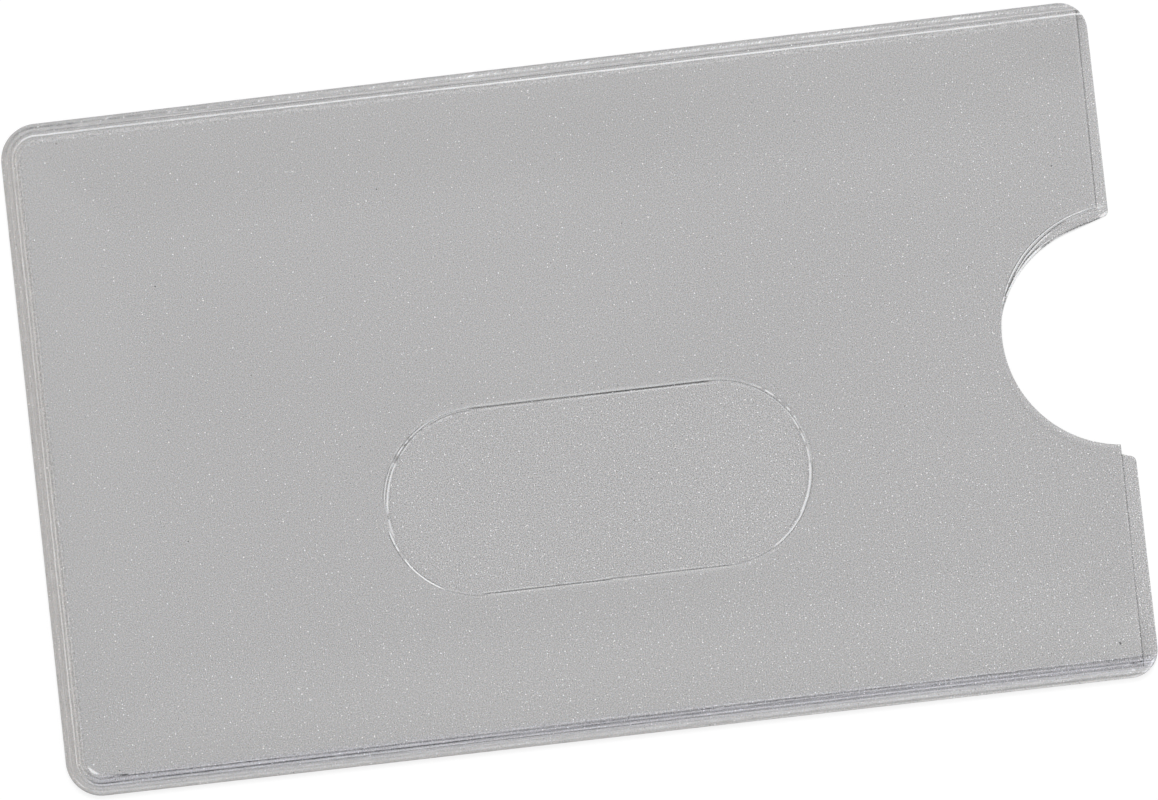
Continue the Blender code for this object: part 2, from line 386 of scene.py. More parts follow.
@dataclass(frozen=True)
class SeamRelief:
    """Heights of the sleeve's two faces above the table, across the seam."""

    starts: dict[Side, float] = field(default_factory=lambda: {
        Side.UPPER: 0.48, Side.CLOSED: 0.51, Side.LOWER: 0.5})
    creases: dict[Side, tuple[Crease, ...]] = field(default_factory=lambda: {
        Side.UPPER: (
            Crease(0.1, 0.07, 0.12), Crease(0.32, 0.06, 0.16), Crease(0.58, -0.04, 0.12),
            Crease(0.7, 0.04, 0.08), Crease(0.9, -0.05, 0.08), Crease(1.12, 0.24, 0.14, 0.06),
            Crease(1.55, 0.04, 0.3)),
        Side.CLOSED: (
            Crease(0.1, 0.05, 0.12), Crease(0.47, 0.05, 0.1), Crease(0.7, -0.03, 0.1),
            Crease(0.95, 0.09, 0.1), Crease(1.08, -0.01, 0.06), Crease(1.26, 0.1, 0.14),
            Crease(1.44, -0.01, 0.05), Crease(1.6, 0.08, 0.14)),
        Side.LOWER: (
            Crease(0.15, 0.06, 0.2), Crease(0.5, -0.02, 0.14), Crease(0.87, 0.07, 0.12, 0.08),
            Crease(1.15, 0.12, 0.14, 0.11), Crease(1.49, 0.11, 0.14, 0.08)),
    })
    under: tuple[Crease, ...] = (
        Crease(0.08, -0.05, 0.14), Crease(0.45, -0.03, 0.12), Crease(0.66, 0.03, 0.12),
        Crease(0.95, -0.06, 0.16), Crease(1.3, -0.1, 0.3), Crease(1.6, -0.03, 0.2))
    under_start: float = 0.24

    @staticmethod
    def level(start: float, creases: tuple[Crease, ...], spots: Spots) -> Values:
        """Height after a row of creases.

        Args:
            start: Height of the outer edge.
            creases: The creases.
            spots: Places in the plan.

        Returns:
            One height for each place.
        """
        height = np.full_like(spots.inward, start)
        along = spots.x / PLAN.mouth_x
        for crease in creases:
            place = spots.inward - crease.at - crease.drift * along
            height += crease.rise * eased(place / crease.run + 0.5)
        return height

    def upper(self, spots: Spots) -> Values:
        """Height of the upper face."""
        return sum(share * self.level(self.starts[side], self.creases[side], spots)
                   for side, share in spots.shares.items())

    def lower(self, spots: Spots) -> Values:
        """Height of the underside."""
        return self.level(self.under_start, self.under, spots)


@dataclass(frozen=True)
class Streak:
    """A painted highlight or painted shade line along a welded side.

    Its places and strengths are those at evenly spread points of the side: from the closed end
    to the mouth, or from the lower corner to the upper one.
    """

    at: tuple[float, ...]
    reach: float
    share: tuple[float, ...]
    ragged: float = 0.25


def spread_over(place: Values, values: tuple[float, ...]) -> Values:
    """Value at places from 0 to 1, drawn straight between evenly spread ones."""
    return np.interp(place, np.linspace(0.0, 1.0, len(values)), values)


@dataclass(frozen=True)
class PaintedSeamLight:
    """Painted highlights and painted shade along the seam: lighter and darker lines that stand in
    for light catching the pressed ridges and falling away from their far slopes.
    """

    streaks: dict[Side, tuple[Streak, ...]] = field(default_factory=lambda: {
        Side.UPPER: (
            Streak((0.1, 0.13, 0.14), 0.1, (-0.12, -0.22, -0.22)),
            Streak((0.34, 0.43, 0.34), 0.17, (-0.4, 0.36, 0.44), 0.6),
            Streak((0.52, 0.57, 0.55), 0.09, (0.14, 0.17, 0.16), 0.4),
            Streak((0.6, 0.71, 0.83, 0.81, 0.73), 0.09, (0.14, 0.2, 0.3, 0.3, 0.12), 0.4),
            Streak((0.7, 0.94, 0.88), 0.08, (-0.36, -0.24, -0.1)),
            Streak((1.04, 1.13, 1.225, 1.235, 1.15), 0.12, (1.1, 1.02, 1.04, 1.04, 1.12), 0.2),
            Streak((1.21, 1.36, 1.34), 0.08, (-0.16, -0.08, -0.02)),
            Streak((1.42, 1.54, 1.53), 0.12, (0.1, -0.02, -0.08), 1.0)),
        Side.CLOSED: (
            Streak((0.2,), 0.12, (-0.04,)),
            Streak((0.48, 0.48, 0.5), 0.09, (0.2, 0.16, 0.12)),
            Streak((0.72,), 0.11, (-0.02,)),
            Streak((0.96, 0.96, 0.98), 0.1, (0.68, 0.54, 0.46)),
            Streak((1.1, 1.1, 1.12), 0.06, (-0.12, -0.12, -0.06)),
            Streak((1.25, 1.28, 1.29), 0.11, (0.44, 0.36, 0.3)),
            Streak((1.46, 1.47, 1.5), 0.08, (-0.06, -0.18, -0.08)),
            Streak((1.57, 1.61, 1.6), 0.08, (0.28, 0.26, 0.16), 0.4),
            Streak((1.74,), 0.07, (-0.06, -0.08, -0.04))),
        Side.LOWER: (
            Streak((0.03, 0.03, 0.04), 0.1, (0.0, 0.24, 0.6)),
            Streak((0.1, 0.1, 0.11), 0.1, (0.0, 0.0, 0.0, 0.24, 0.5)),
            Streak((0.22, 0.22, 0.23), 0.2, (0.22, 0.2, 0.14, 0.04, 0.04)),
            Streak((0.27,), 0.08, (0.0, 0.0, 0.0, -0.12, -0.26)),
            Streak((0.31, 0.33, 0.37, 0.41, 0.45), 0.15, (0.14, 0.14, 0.24, 0.26, 0.26), 0.4),
            Streak((0.46, 0.46, 0.5, 0.56, 0.6), 0.08, (-0.06, -0.08, 0.0, 0.22, 0.28), 0.4),
            Streak((0.61, 0.59, 0.68, 0.76, 0.64), 0.08, (0.2, 0.2, 0.14, 0.16, 0.26), 0.5),
            Streak((0.76, 0.8, 0.88, 0.98, 1.035), 0.07, (-0.08, -0.36, -0.16, -0.26, -0.28), 0.5),
            Streak((0.86, 0.91, 0.98, 1.11, 1.165), 0.07, (0.44, 0.44, 0.26, 0.34, 0.32), 0.4),
            Streak((1.01, 1.095, 1.23, 1.325, 1.305), 0.07, (-0.4, -0.84, -0.42, -0.3, -0.18), 0.6),
            Streak((1.3, 1.25, 1.34, 1.43, 1.43), 0.07, (0.12, 0.36, 0.0, 0.12, 0.06), 0.5),
            Streak((1.53, 1.4, 1.42, 1.56, 1.69), 0.07, (-0.4, -0.34, -0.26, -0.34, -0.34), 0.8),
            Streak((1.58, 1.54, 1.66, 1.67, 1.76), 0.06, (0.44, 0.22, 0.2, 0.3, 0.18), 0.5)),
    })
    wander: float = 0.025
    wander_pitches: Pair = (7.0, 1.1)
    quick_share: float = 0.5
    patch_pitches: Pair = (0.40, 3.0)
    patch_shares: Pair = (0.5, 0.7)
    raggedness: float = 1.6
    first_seed: int = 40

    def tone(self, spots: Spots) -> Values:
        """Painted highlights and painted shade that the lines add.

        Args:
            spots: Places in the plan.

        Returns:
            Shares of the plain tone to add.
        """
        run = spots.run
        lengthwise = np.clip(spots.from_end / PLAN.length, 0.0, 1.0)
        crosswise = np.clip((spots.y + PLAN.side_y) / PLAN.width, 0.0, 1.0)
        slow, quick = self.wander_pitches
        fine, coarse = self.patch_shares
        total, seed = np.zeros_like(run), self.first_seed
        for side, share in spots.shares.items():
            place = crosswise if side is Side.CLOSED else lengthwise
            for streak in self.streaks[side]:
                seed += 5
                centre = spread_over(place, streak.at) + self.wander * (
                    wander(seed, slow, run) + wander(seed + 1, quick, run) * self.quick_share)
                patch = fine * wander(seed + 2, self.patch_pitches[0], run)
                patch = patch + coarse * wander(seed + 3, self.patch_pitches[1], run)
                broken = 1 + self.raggedness * streak.ragged * patch
                strength = spread_over(place, streak.share) * broken
                total += share * strength * bell(spots.inward - centre, 0.0, streak.reach)
        return total


def drawn(stretches: Rows, along: Values, away: Values, seed: int) -> Values:
    """Painted highlights and painted shade that the lines beside a cut edge add.

    Args:
        stretches: For each stretch of the edge its start, its end and its lines. A line has its
            distance from the edge into the film, its reach, its strength and, where it is
            broken, the share of it that is left out.
        along: Places along the edge.
        away: Distances from the edge.
        seed: Number that fixes where the lines break off.

    Returns:
        Shares of the plain tone to add.
    """
    total = np.zeros_like(away)
    for start, end, *lines in stretches:
        inside = eased((along - start) / FADE + 0.5) * eased((end - along) / FADE + 0.5)
        for at, reach, share, *gaps in lines:
            seed += 3
            breaks = 1.0
            if gaps:
                whole = wander(seed + 1, BREAK_PITCH, along) + 1.0 - 2.0 * gaps[0]
                breaks = eased(whole / BREAK_EDGE + 0.5)
            drift = DRIFT * wander(seed, DRIFT_PITCH, along)
            total += share * inside * breaks * bell(away - drift, at, reach)
    return total


@dataclass(frozen=True)
class PaintedCutLight:
    """Painted highlights and painted shade along the slot, the notches and the edge at the mouth:
    glints on the cut edges, the thin shadows that the edges cast, painted light that lifts shade
    cast there, and the rear notch's edge seen as a faint dark line through the front film.
    """

    slot: Rows = (
        (0.0, 4.1, (-0.27, 0.08, -0.16)), (0.0, 4.3, (-0.08, 0.11, 1.25, 0.25)),
        (0.0, 4.1, (0.07, 0.12, 0.4)), (4.0, 8.3, (-0.26, 0.12, 0.1), (-0.08, 0.12, 0.72),
        (0.15, 0.1, 1.75, 0.35)), (8.2, 12.6, (-0.25, 0.09, 0.26, 0.2)),
        (8.2, 12.4, (-0.02, 0.16, 0.62), (0.15, 0.16, 0.24, 0.1)), (12.2, 22.6, (-0.04, 0.1, -0.74),
        (0.04, 0.1, 0.46)), (12.6, 23.0, (-0.2, 0.08, 0.62, 0.1)), (12.4, 33.0, (0.14, 0.14, 0.36)),
        (12.2, 37.0, (0.31, 0.16, 0.09)), (22.6, 32.6, (-0.03, 0.09, -0.4, 0.04), (0.03, 0.12, 0.3),
        (-0.22, 0.1, 0.34, 0.2)), (32.8, 37.0, (-0.31, 0.08, 0.6, 0.35), (-0.18, 0.07, -0.4),
        (-0.01, 0.14, 0.92, 0.1), (0.16, 0.14, 0.14)), (36.9, 41.2, (-0.17, 0.07, 0.7, 0.35),
        (-0.075, 0.06, -0.4), (0.03, 0.08, 1.8, 0.3)), (36.9, 41.4, (0.15, 0.06, -0.52, 0.1)),
        (36.9, 41.2, (0.26, 0.07, 0.42, 0.3)), (41.0, 44.6, (-0.33, 0.07, -0.12),
        (-0.09, 0.12, 1.12, 0.05), (0.045, 0.06, -0.28), (0.14, 0.06, 0.84, 0.1),
        (0.245, 0.06, -0.38)), (44.4, 47.4, (-0.06, 0.12, 0.92, 0.3)),
        (44.4, 50.2, (-0.22, 0.07, -0.1, 0.4)), (47.0, 50.2, (0.14, 0.085, 1.25, 0.2),
        (0.26, 0.065, -0.62, 0.1), (-0.15, 0.14, 0.08)), (50.0, 53.7, (0.075, 0.07, -0.6),
        (0.19, 0.08, 1.34), (0.295, 0.06, -0.46)), (50.0, 57.4, (-0.03, 0.13, 0.16)),
        (53.4, 57.4, (0.17, 0.12, -0.34)), (57.2, 67.9, (0.075, 0.08, -0.78),
        (-0.06, 0.07, 0.58, 0.15), (0.205, 0.07, 0.24, 0.2)), (67.7, 78.2, (0.02, 0.08, -0.48),
        (-0.12, 0.08, 0.42, 0.2), (0.13, 0.07, 0.14, 0.2)), (78.0, 82.8, (0.04, 0.07, -0.2)),
        (78.0, 82.6, (-0.08, 0.08, 0.3, 0.3)), (82.4, 86.3, (-0.015, 0.1, 2.1),
        (0.12, 0.06, -0.52)), (86.1, 90.6, (-0.085, 0.14, 1.85), (0.11, 0.07, -0.42)),
        (84.0, 90.6, (-0.28, 0.06, -0.26)))
    front_notch: Rows = (
        (16.4, 18.2, (-0.27, 0.09, 0.2), (-0.15, 0.06, -0.18), (-0.02, 0.12, 0.6, 0.1)),
        (16.2, 18.2, (0.08, 0.12, 0.45, 0.2)), (18.0, 19.8, (-0.34, 0.09, 0.2), (-0.05, 0.1, 0.6)),
        (18.0, 20.0, (0.06, 0.09, 1.45)), (16.4, 21.6, (0.27, 0.11, 0.18)),
        (19.7, 21.7, (0.025, 0.11, 3.2), (-0.105, 0.07, -0.8), (0.135, 0.07, -0.32)),
        (21.4, 23.9, (-0.245, 0.08, 1.0), (-0.13, 0.08, -1.7), (0.005, 0.12, 4.2),
        (0.12, 0.06, -0.8), (0.21, 0.07, 0.22)), (23.8, 26.2, (-0.205, 0.08, 1.15),
        (-0.1, 0.08, -1.8), (0.025, 0.12, 3.8), (0.14, 0.06, -0.7), (0.26, 0.08, 0.24)),
        (26.0, 28.4, (-0.09, 0.07, -0.62)), (26.0, 28.6, (0.04, 0.08, 1.25, 0.35)),
        (26.0, 28.4, (0.15, 0.06, -0.3)), (28.2, 29.6, (0.07, 0.1, 0.5, 0.5)))
    rear_notch: Rows = (
        (13.2, 16.4, (0.05, 0.08, -0.5)), (16.2, 18.2, (0.12, 0.08, -0.66)),
        (16.2, 19.5, (-0.01, 0.09, 1.5)), (18.0, 19.5, (0.17, 0.09, -0.1)),
        (18.0, 19.6, (0.34, 0.1, 0.14)), (19.4, 20.9, (0.0, 0.05, -0.55), (0.135, 0.06, -0.5),
        (0.225, 0.07, 0.75), (0.31, 0.06, -0.3)), (20.7, 22.5, (0.01, 0.05, -0.6),
        (0.11, 0.13, 3.0), (0.27, 0.08, -1.1), (0.38, 0.08, 0.2)), (22.4, 24.2, (0.0, 0.04, -0.55),
        (0.075, 0.12, 3.2), (0.21, 0.06, -1.1), (0.3, 0.06, 0.2), (0.375, 0.06, -0.45)),
        (24.1, 25.5, (0.0, 0.04, -0.4), (0.065, 0.1, 2.6), (0.2, 0.07, -1.15), (0.33, 0.06, 0.26),
        (0.45, 0.07, -0.3)), (25.4, 26.8, (0.03, 0.08, -0.2), (0.3, 0.08, 0.1)))
    seen_through: Rows = ((32.5, 45.5, (0.02, 0.12, -0.1, 0.15)),)
    lip: Rows = (
        (0.0, 57.5, (0.0, 0.07, -0.34, 0.05), (0.15, 0.09, 0.12, 0.2), (-0.16, 0.09, 0.12, 0.2)),
        (41.5, 50.5, (-0.06, 0.07, -0.24)))
    slot_seed: int = 300
    notch_seed: int = 400
    lip_seed: int = 600
    lip_fade: float = 0.06

    def at_lip(self, spots: Spots) -> Values:
        """Painted highlight and shade lines along the front film's edge at the mouth, outside the
        notch.
        """
        lines = drawn(self.lip, spots.y + PLAN.side_y, spots.lip, self.lip_seed)
        return lines * eased(spots.front_notch / self.lip_fade)

    def on_film(self, spots: Spots, notch: Rows, seed: int) -> Values:
        """Painted highlights and painted shade added to a film along the cut edges.

        Args:
            spots: Places in the plan.
            notch: The film's own lines along the rear notch.
            seed: Number that fixes where those break off.

        Returns:
            Shares of the plain tone to add.
        """
        x, y = spots.x, spots.y
        total = drawn(self.slot, spots.slot_run, spots.slot, self.slot_seed)
        total += drawn(self.front_notch, PLAN.front_notch.run(x, y), spots.front_notch,
                       self.notch_seed)
        total += drawn(notch, PLAN.rear_notch.run(x, y), spots.rear_notch, seed)
        return total + self.at_lip(spots)


def placed(name: str, data: bpy.types.ID) -> bpy.types.Object:
    """Puts a mesh, a lamp or a camera into the scene.

    Args:
        name: Name of the new object.
        data: What it shows.

    Returns:
        The new object.
    """
    item = bpy.data.objects.new(name, data)
    bpy.context.scene.collection.objects.link(item)
    return item


@dataclass
class Sheet(ABC):
    """A thin closed piece, meshed from lines in the plan and two faces over them."""

    name: str
    replaces: str
    step: float
    relief: SeamRelief = field(default_factory=SeamRelief)
    tones: PaintedSeamLight = field(default_factory=PaintedSeamLight)
    cuts: PaintedCutLight = field(default_factory=PaintedCutLight)
    closing: float = 0.11
    under_share: float = 0.5
    tone_limits: Pair = (0.25, 2.2)
    seam_end: float = 2.4
    warm_edge: float = 1.8
    warm_fade: float = 0.5
    rim_warmth: float = 0.7
    rim_reach: float = 0.4
    cool_at: float = 1.2
    cool_reach: float = 0.9

    @abstractmethod
    def guides(self) -> list[Line]:
        """Lines in the plan that edges of the mesh follow."""

    @abstractmethod
    def edge(self, spots: Spots) -> Values:
        """Distance inwards from the piece's nearest edge."""

    @abstractmethod
    def faces(self, spots: Spots) -> tuple[Values, Values]:
        """Heights of the upper and the lower face, before the edge is rounded."""

    def loose_points(self) -> Line:
        """Points in the plan between the guides."""
        return []

    def tone(self, spots: Spots) -> Values:
        """Lightness of each point, as a share of the finish's plain tone, with the seam's painted
        highlights and shade.
        """
        return 1.0 + np.where(spots.inward < self.seam_end, self.tones.tone(spots), 0.0)

    def under_tone(self, spots: Spots) -> Values:
        """Lightness of the underside, which shows only the seam's painted highlight and shade
        lines, and those faintly.
        """
        return 1.0 + self.under_share * (Sheet.tone(self, spots) - 1.0)

    def warmth(self, spots: Spots) -> Values:
        """How warm the plastic looks at each point, from 1 down to -1 where it is bluish.

        Args:
            spots: Places in the plan.

        Returns:
            One value for each place.
        """
        warm = spots.shares[Side.CLOSED] * eased((self.warm_edge - spots.inward) / self.warm_fade)
        rim = self.rim_warmth * bell(spots.inward, 0.0, self.rim_reach)
        # The bluish cast round cool_at on the lower side tints the painted shade lines there.
        cool = bell(spots.inward, self.cool_at, self.cool_reach)
        return warm + spots.shares[Side.LOWER] * (rim - cool)

    def marks(self, spots: Spots) -> dict[str, Values]:
        """Named values that the finish reads at each point."""
        return {"inward": spots.inward, "run": spots.run, "warmth": self.warmth(spots),
                "tone": np.clip(self.tone(spots), *self.tone_limits)}

    def plan_mesh(self) -> tuple[Values, Values]:
        """Triangles in the plan between the guides.

        Returns:
            The points as rows of X and Y, and the triangles as rows of point numbers.
        """
        points: list[Vector] = []
        edges: list[tuple[int, int]] = []
        for guide in self.guides():
            first = len(points)
            points += [Vector(p) for p in guide]
            edges += [(i, i + 1) for i in range(first, len(points) - 1)]
        points += [Vector(p) for p in self.loose_points()]
        found, _, faces, *_ = delaunay_2d_cdt(points, edges, [], 0, TINY, False)
        flat = np.array([(v.x, v.y) for v in found])
        faces = np.array([f for f in faces if len(f) == 3])
        faces = faces[self.edge(Spots(*flat[faces].mean(axis=1).T)) > TINY]
        used, numbers = np.unique(faces, return_inverse=True)
        return flat[used], numbers.reshape(-1, 3)

    def build(self) -> bpy.types.Object:
        """Makes the piece, with its marks, on the sleeve's body.

        Returns:
            The new object.
        """
        flat, faces = self.plan_mesh()
        spots = Spots(*flat.T)
        high, low = self.faces(spots)
        middle = (high + low) / 2
        reach = np.clip(self.edge(spots) / self.closing, 0.0, 1.0)
        fullness = np.sqrt(1.0 - (1.0 - reach) ** 2)
        top, bottom = (np.column_stack((flat, middle + (face - middle) * fullness))
                       for face in (high, low))
        inner = reach > 1e-3
        under = np.where(inner, len(flat) - 1 + np.cumsum(inner), np.arange(len(flat)))
        vertices = np.vstack((top, bottom[inner])) * MM
        triangles = np.vstack((faces, under[faces][:, ::-1]))
        mesh = bpy.data.meshes.new(self.name)
        mesh.from_pydata(vertices.tolist(), [], triangles.tolist())
        marks = self.marks(spots)
        for name, values in marks.items():
            below = self.under_tone(spots) if name == "tone" else values
            both = np.concatenate((values, below[inner])).astype(np.float32)
            mesh.attributes.new(name, "FLOAT", "POINT").data.foreach_set("value", both)
        mesh.shade_smooth()
        mesh.update()
        item = placed(self.name, mesh)
        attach(item, ROOT)
        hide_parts(self.replaces)
        return item


@dataclass
class WeldBand(Sheet):
    """The fused seam, with the pressed lines and teeth that the welding tool leaves."""

    name: str = "weld_band"
    replaces: str = "weld_seam"
    step: float = 0.125
    closing: float = 0.07
    rings: tuple[float, ...] = (
        0.0, 0.004, 0.016, 0.035, 0.06, 0.09, 0.13, 0.17, 0.21, 0.25, 0.29, 0.33, 0.37, 0.41,
        0.46, 0.51, 0.55, 0.59, 0.63, 0.67, 0.71, 0.75, 0.79, 0.83, 0.855, 0.87)
    end_rings: int = 5
    teeth_pitch: float = 0.31
    teeth_height: float = 0.02
    teeth_slant: float = 0.6
    jitter: float = 0.45
    jitter_pitch: float = 0.9
    weak_share: float = 0.35
    swell: Pair = (0.7, 0.5)
    swell_pitch: float = 5.0
    bead_at: float = 0.36
    bead_reach: float = 0.20
    over: float = 0.006
    below: float = 0.004
    teeth_highlight_share: float = 0.80
    stroke_reach: float = 0.28
    stroke_chance: Triple = (0.12, 1.1, 0.92)
    stroke_power: Pair = (0.6, 0.8)
    stroke_dim: float = 0.45
    stroke_at: float = 0.31
    stroke_shift: float = 0.08
    stroke_band: float = 0.16
    scuff_share: float = 0.45
    scuff_at: float = 0.10
    scuff_reach: float = 0.13
    scuff_pitch: float = 0.5
    scuff_power: float = 0.6

    def guides(self) -> list[Line]:
        """Lines along the seam, and the arcs at its two ends.

        Returns:
            The lines.
        """
        lines = [welded_line(r, self.step, (mouth_end(r), mouth_end(r))) for r in self.rings]
        radius = PLAN.mouth_radius
        for inset in self.rings[:self.end_rings]:
            turn = math.acos((radius - PLAN.weld_width) / (radius - inset))
            for side in (1.0, -1.0):
                corner = Circle(PLAN.mouth_x - radius, side * (PLAN.side_y - radius),
                                radius - inset)
                lines.append(corner.arc(side * QUARTER, side * (QUARTER - turn), self.step / 2))
        return lines

    def edge(self, spots: Spots) -> Values:
        """Distance inwards from the seam's edges, its hidden inner one among them."""
        return np.minimum(np.minimum(spots.inward, spots.mouth), PLAN.weld_width - spots.inward)

    def teeth_phase(self, spots: Spots) -> Values:
        """Place along the row of teeth, in teeth."""
        jitter = wander(3, self.jitter_pitch, spots.run) * self.jitter
        return (spots.run + self.teeth_slant * spots.inward + jitter) / self.teeth_pitch

    def faces(self, spots: Spots) -> tuple[Values, Values]:
        """Heights of the pressed upper face and of the flatter underside.

        Args:
            spots: Places in the plan.

        Returns:
            The heights of the upper and of the lower face.
        """
        tooth = np.abs((self.teeth_phase(spots) % 1.0) * 2.0 - 1.0) - 0.5
        strength = self.weak_share + (1.0 - self.weak_share) * spots.shares[Side.UPPER]
        strength *= self.swell[0] + self.swell[1] * wander(4, self.swell_pitch, spots.run)
        high = self.relief.upper(spots) + self.over
        on_bead = bell(spots.inward, self.bead_at, self.bead_reach)
        high += tooth * self.teeth_height * strength * on_bead
        return high, self.relief.lower(spots) - self.below

    def tone(self, spots: Spots) -> Values:
        """Lightness of each point, with painted highlights on the teeth and a scuffed corner.

        Args:
            spots: Places in the plan.

        Returns:
            Shares of the finish's plain tone.
        """
        phase = self.teeth_phase(spots)
        lengthwise = np.clip(spots.x / PLAN.length + 0.5, 0.0, 1.0)
        least, growth, most = self.stroke_chance
        drawn_share = np.clip(least + growth * lengthwise, 0.0, most)
        draws = np.random.default_rng(9).uniform(0.0, 1.0, (3, 1000))
        chance, place, power = draws[:, np.floor(phase).astype(int)]
        # The teeth's strokes are painted highlights, drawn only on the upper side where the light
        # falls on the teeth, with the band between them darkened more towards the mouth.
        stroke = bell(phase % 1.0, 0.5, self.stroke_reach) * (chance < drawn_share)
        stroke *= self.stroke_power[0] + self.stroke_power[1] * power
        centre = spots.inward - self.stroke_at - self.stroke_shift * place
        band = bell(centre, 0.0, self.stroke_band) * spots.shares[Side.UPPER]
        dim = self.stroke_dim * lengthwise
        total = super().tone(spots) + self.teeth_highlight_share * (stroke - dim) * band
        reach = PLAN.mouth_radius
        on_corner = (PLAN.mouth_x - spots.x < reach) & (PLAN.side_y + spots.y < reach)
        patches = wander(8, self.scuff_pitch, spots.y + 30.0)
        worn = bell(spots.mouth, self.scuff_at, self.scuff_reach) * on_corner * (
            self.scuff_power + self.scuff_power * patches)
        return total + self.scuff_share * worn


@dataclass
class Film(Sheet):
    """One of the two vinyl films, welded along three sides and cut at the mouth."""

    step: float = 0.16
    tucked: float = 0.74
    margin_rings: tuple[float, ...] = (
        0.80, 0.85, 0.89, 0.93, 0.97, 1.01, 1.05, 1.09, 1.13, 1.17, 1.21, 1.25, 1.29, 1.33,
        1.38, 1.42, 1.46, 1.50, 1.54, 1.58, 1.62, 1.67, 1.73, 1.82, 2.00)
    last_ring: float = 2.6
    cut_rings: tuple[float, ...] = (
        0.0, 0.004, 0.016, 0.04, 0.07, 0.10, 0.13, 0.16, 0.20, 0.24, 0.28, 0.35, 0.45)
    grid: float = 1.0
    row_share: float = 0.87

    @abstractmethod
    def ends_at(self, inward: float) -> Pair:
        """X where a line inside the welded sides ends at the mouth, below and above."""

    @abstractmethod
    def end_line(self, inset: float) -> Line:
        """Line at one distance inside the film's edge at the mouth, from below to above."""

    def guides(self) -> list[Line]:
        """Lines along the seam, where the film bends down to it, and along the mouth.

        Returns:
            The lines.
        """
        rings = (self.tucked, self.tucked + 0.02, *self.margin_rings)
        lines = [welded_line(ring, self.step, self.ends_at(ring)) for ring in rings]
        lines.append(welded_line(self.last_ring, 4 * self.step, self.ends_at(self.last_ring)))
        return lines + [self.end_line(inset) for inset in self.cut_rings]

    def loose_points(self) -> Line:
        """Evenly spread points over the flat middle of the film.

        Returns:
            The points.
        """
        xs = np.arange(-PLAN.mouth_x, PLAN.mouth_x, self.grid)
        rows = []
        for i, y in enumerate(np.arange(-PLAN.side_y, PLAN.side_y, self.grid * self.row_share)):
            rows += [(float(x + self.grid / 2 * (i % 2)), float(y)) for x in xs]
        spots = Spots(*np.array(rows).T)
        keep = (spots.inward > PLAN.closed_radius) & (self.edge(spots) > self.grid)
        return [rows[i] for i in np.flatnonzero(keep)]


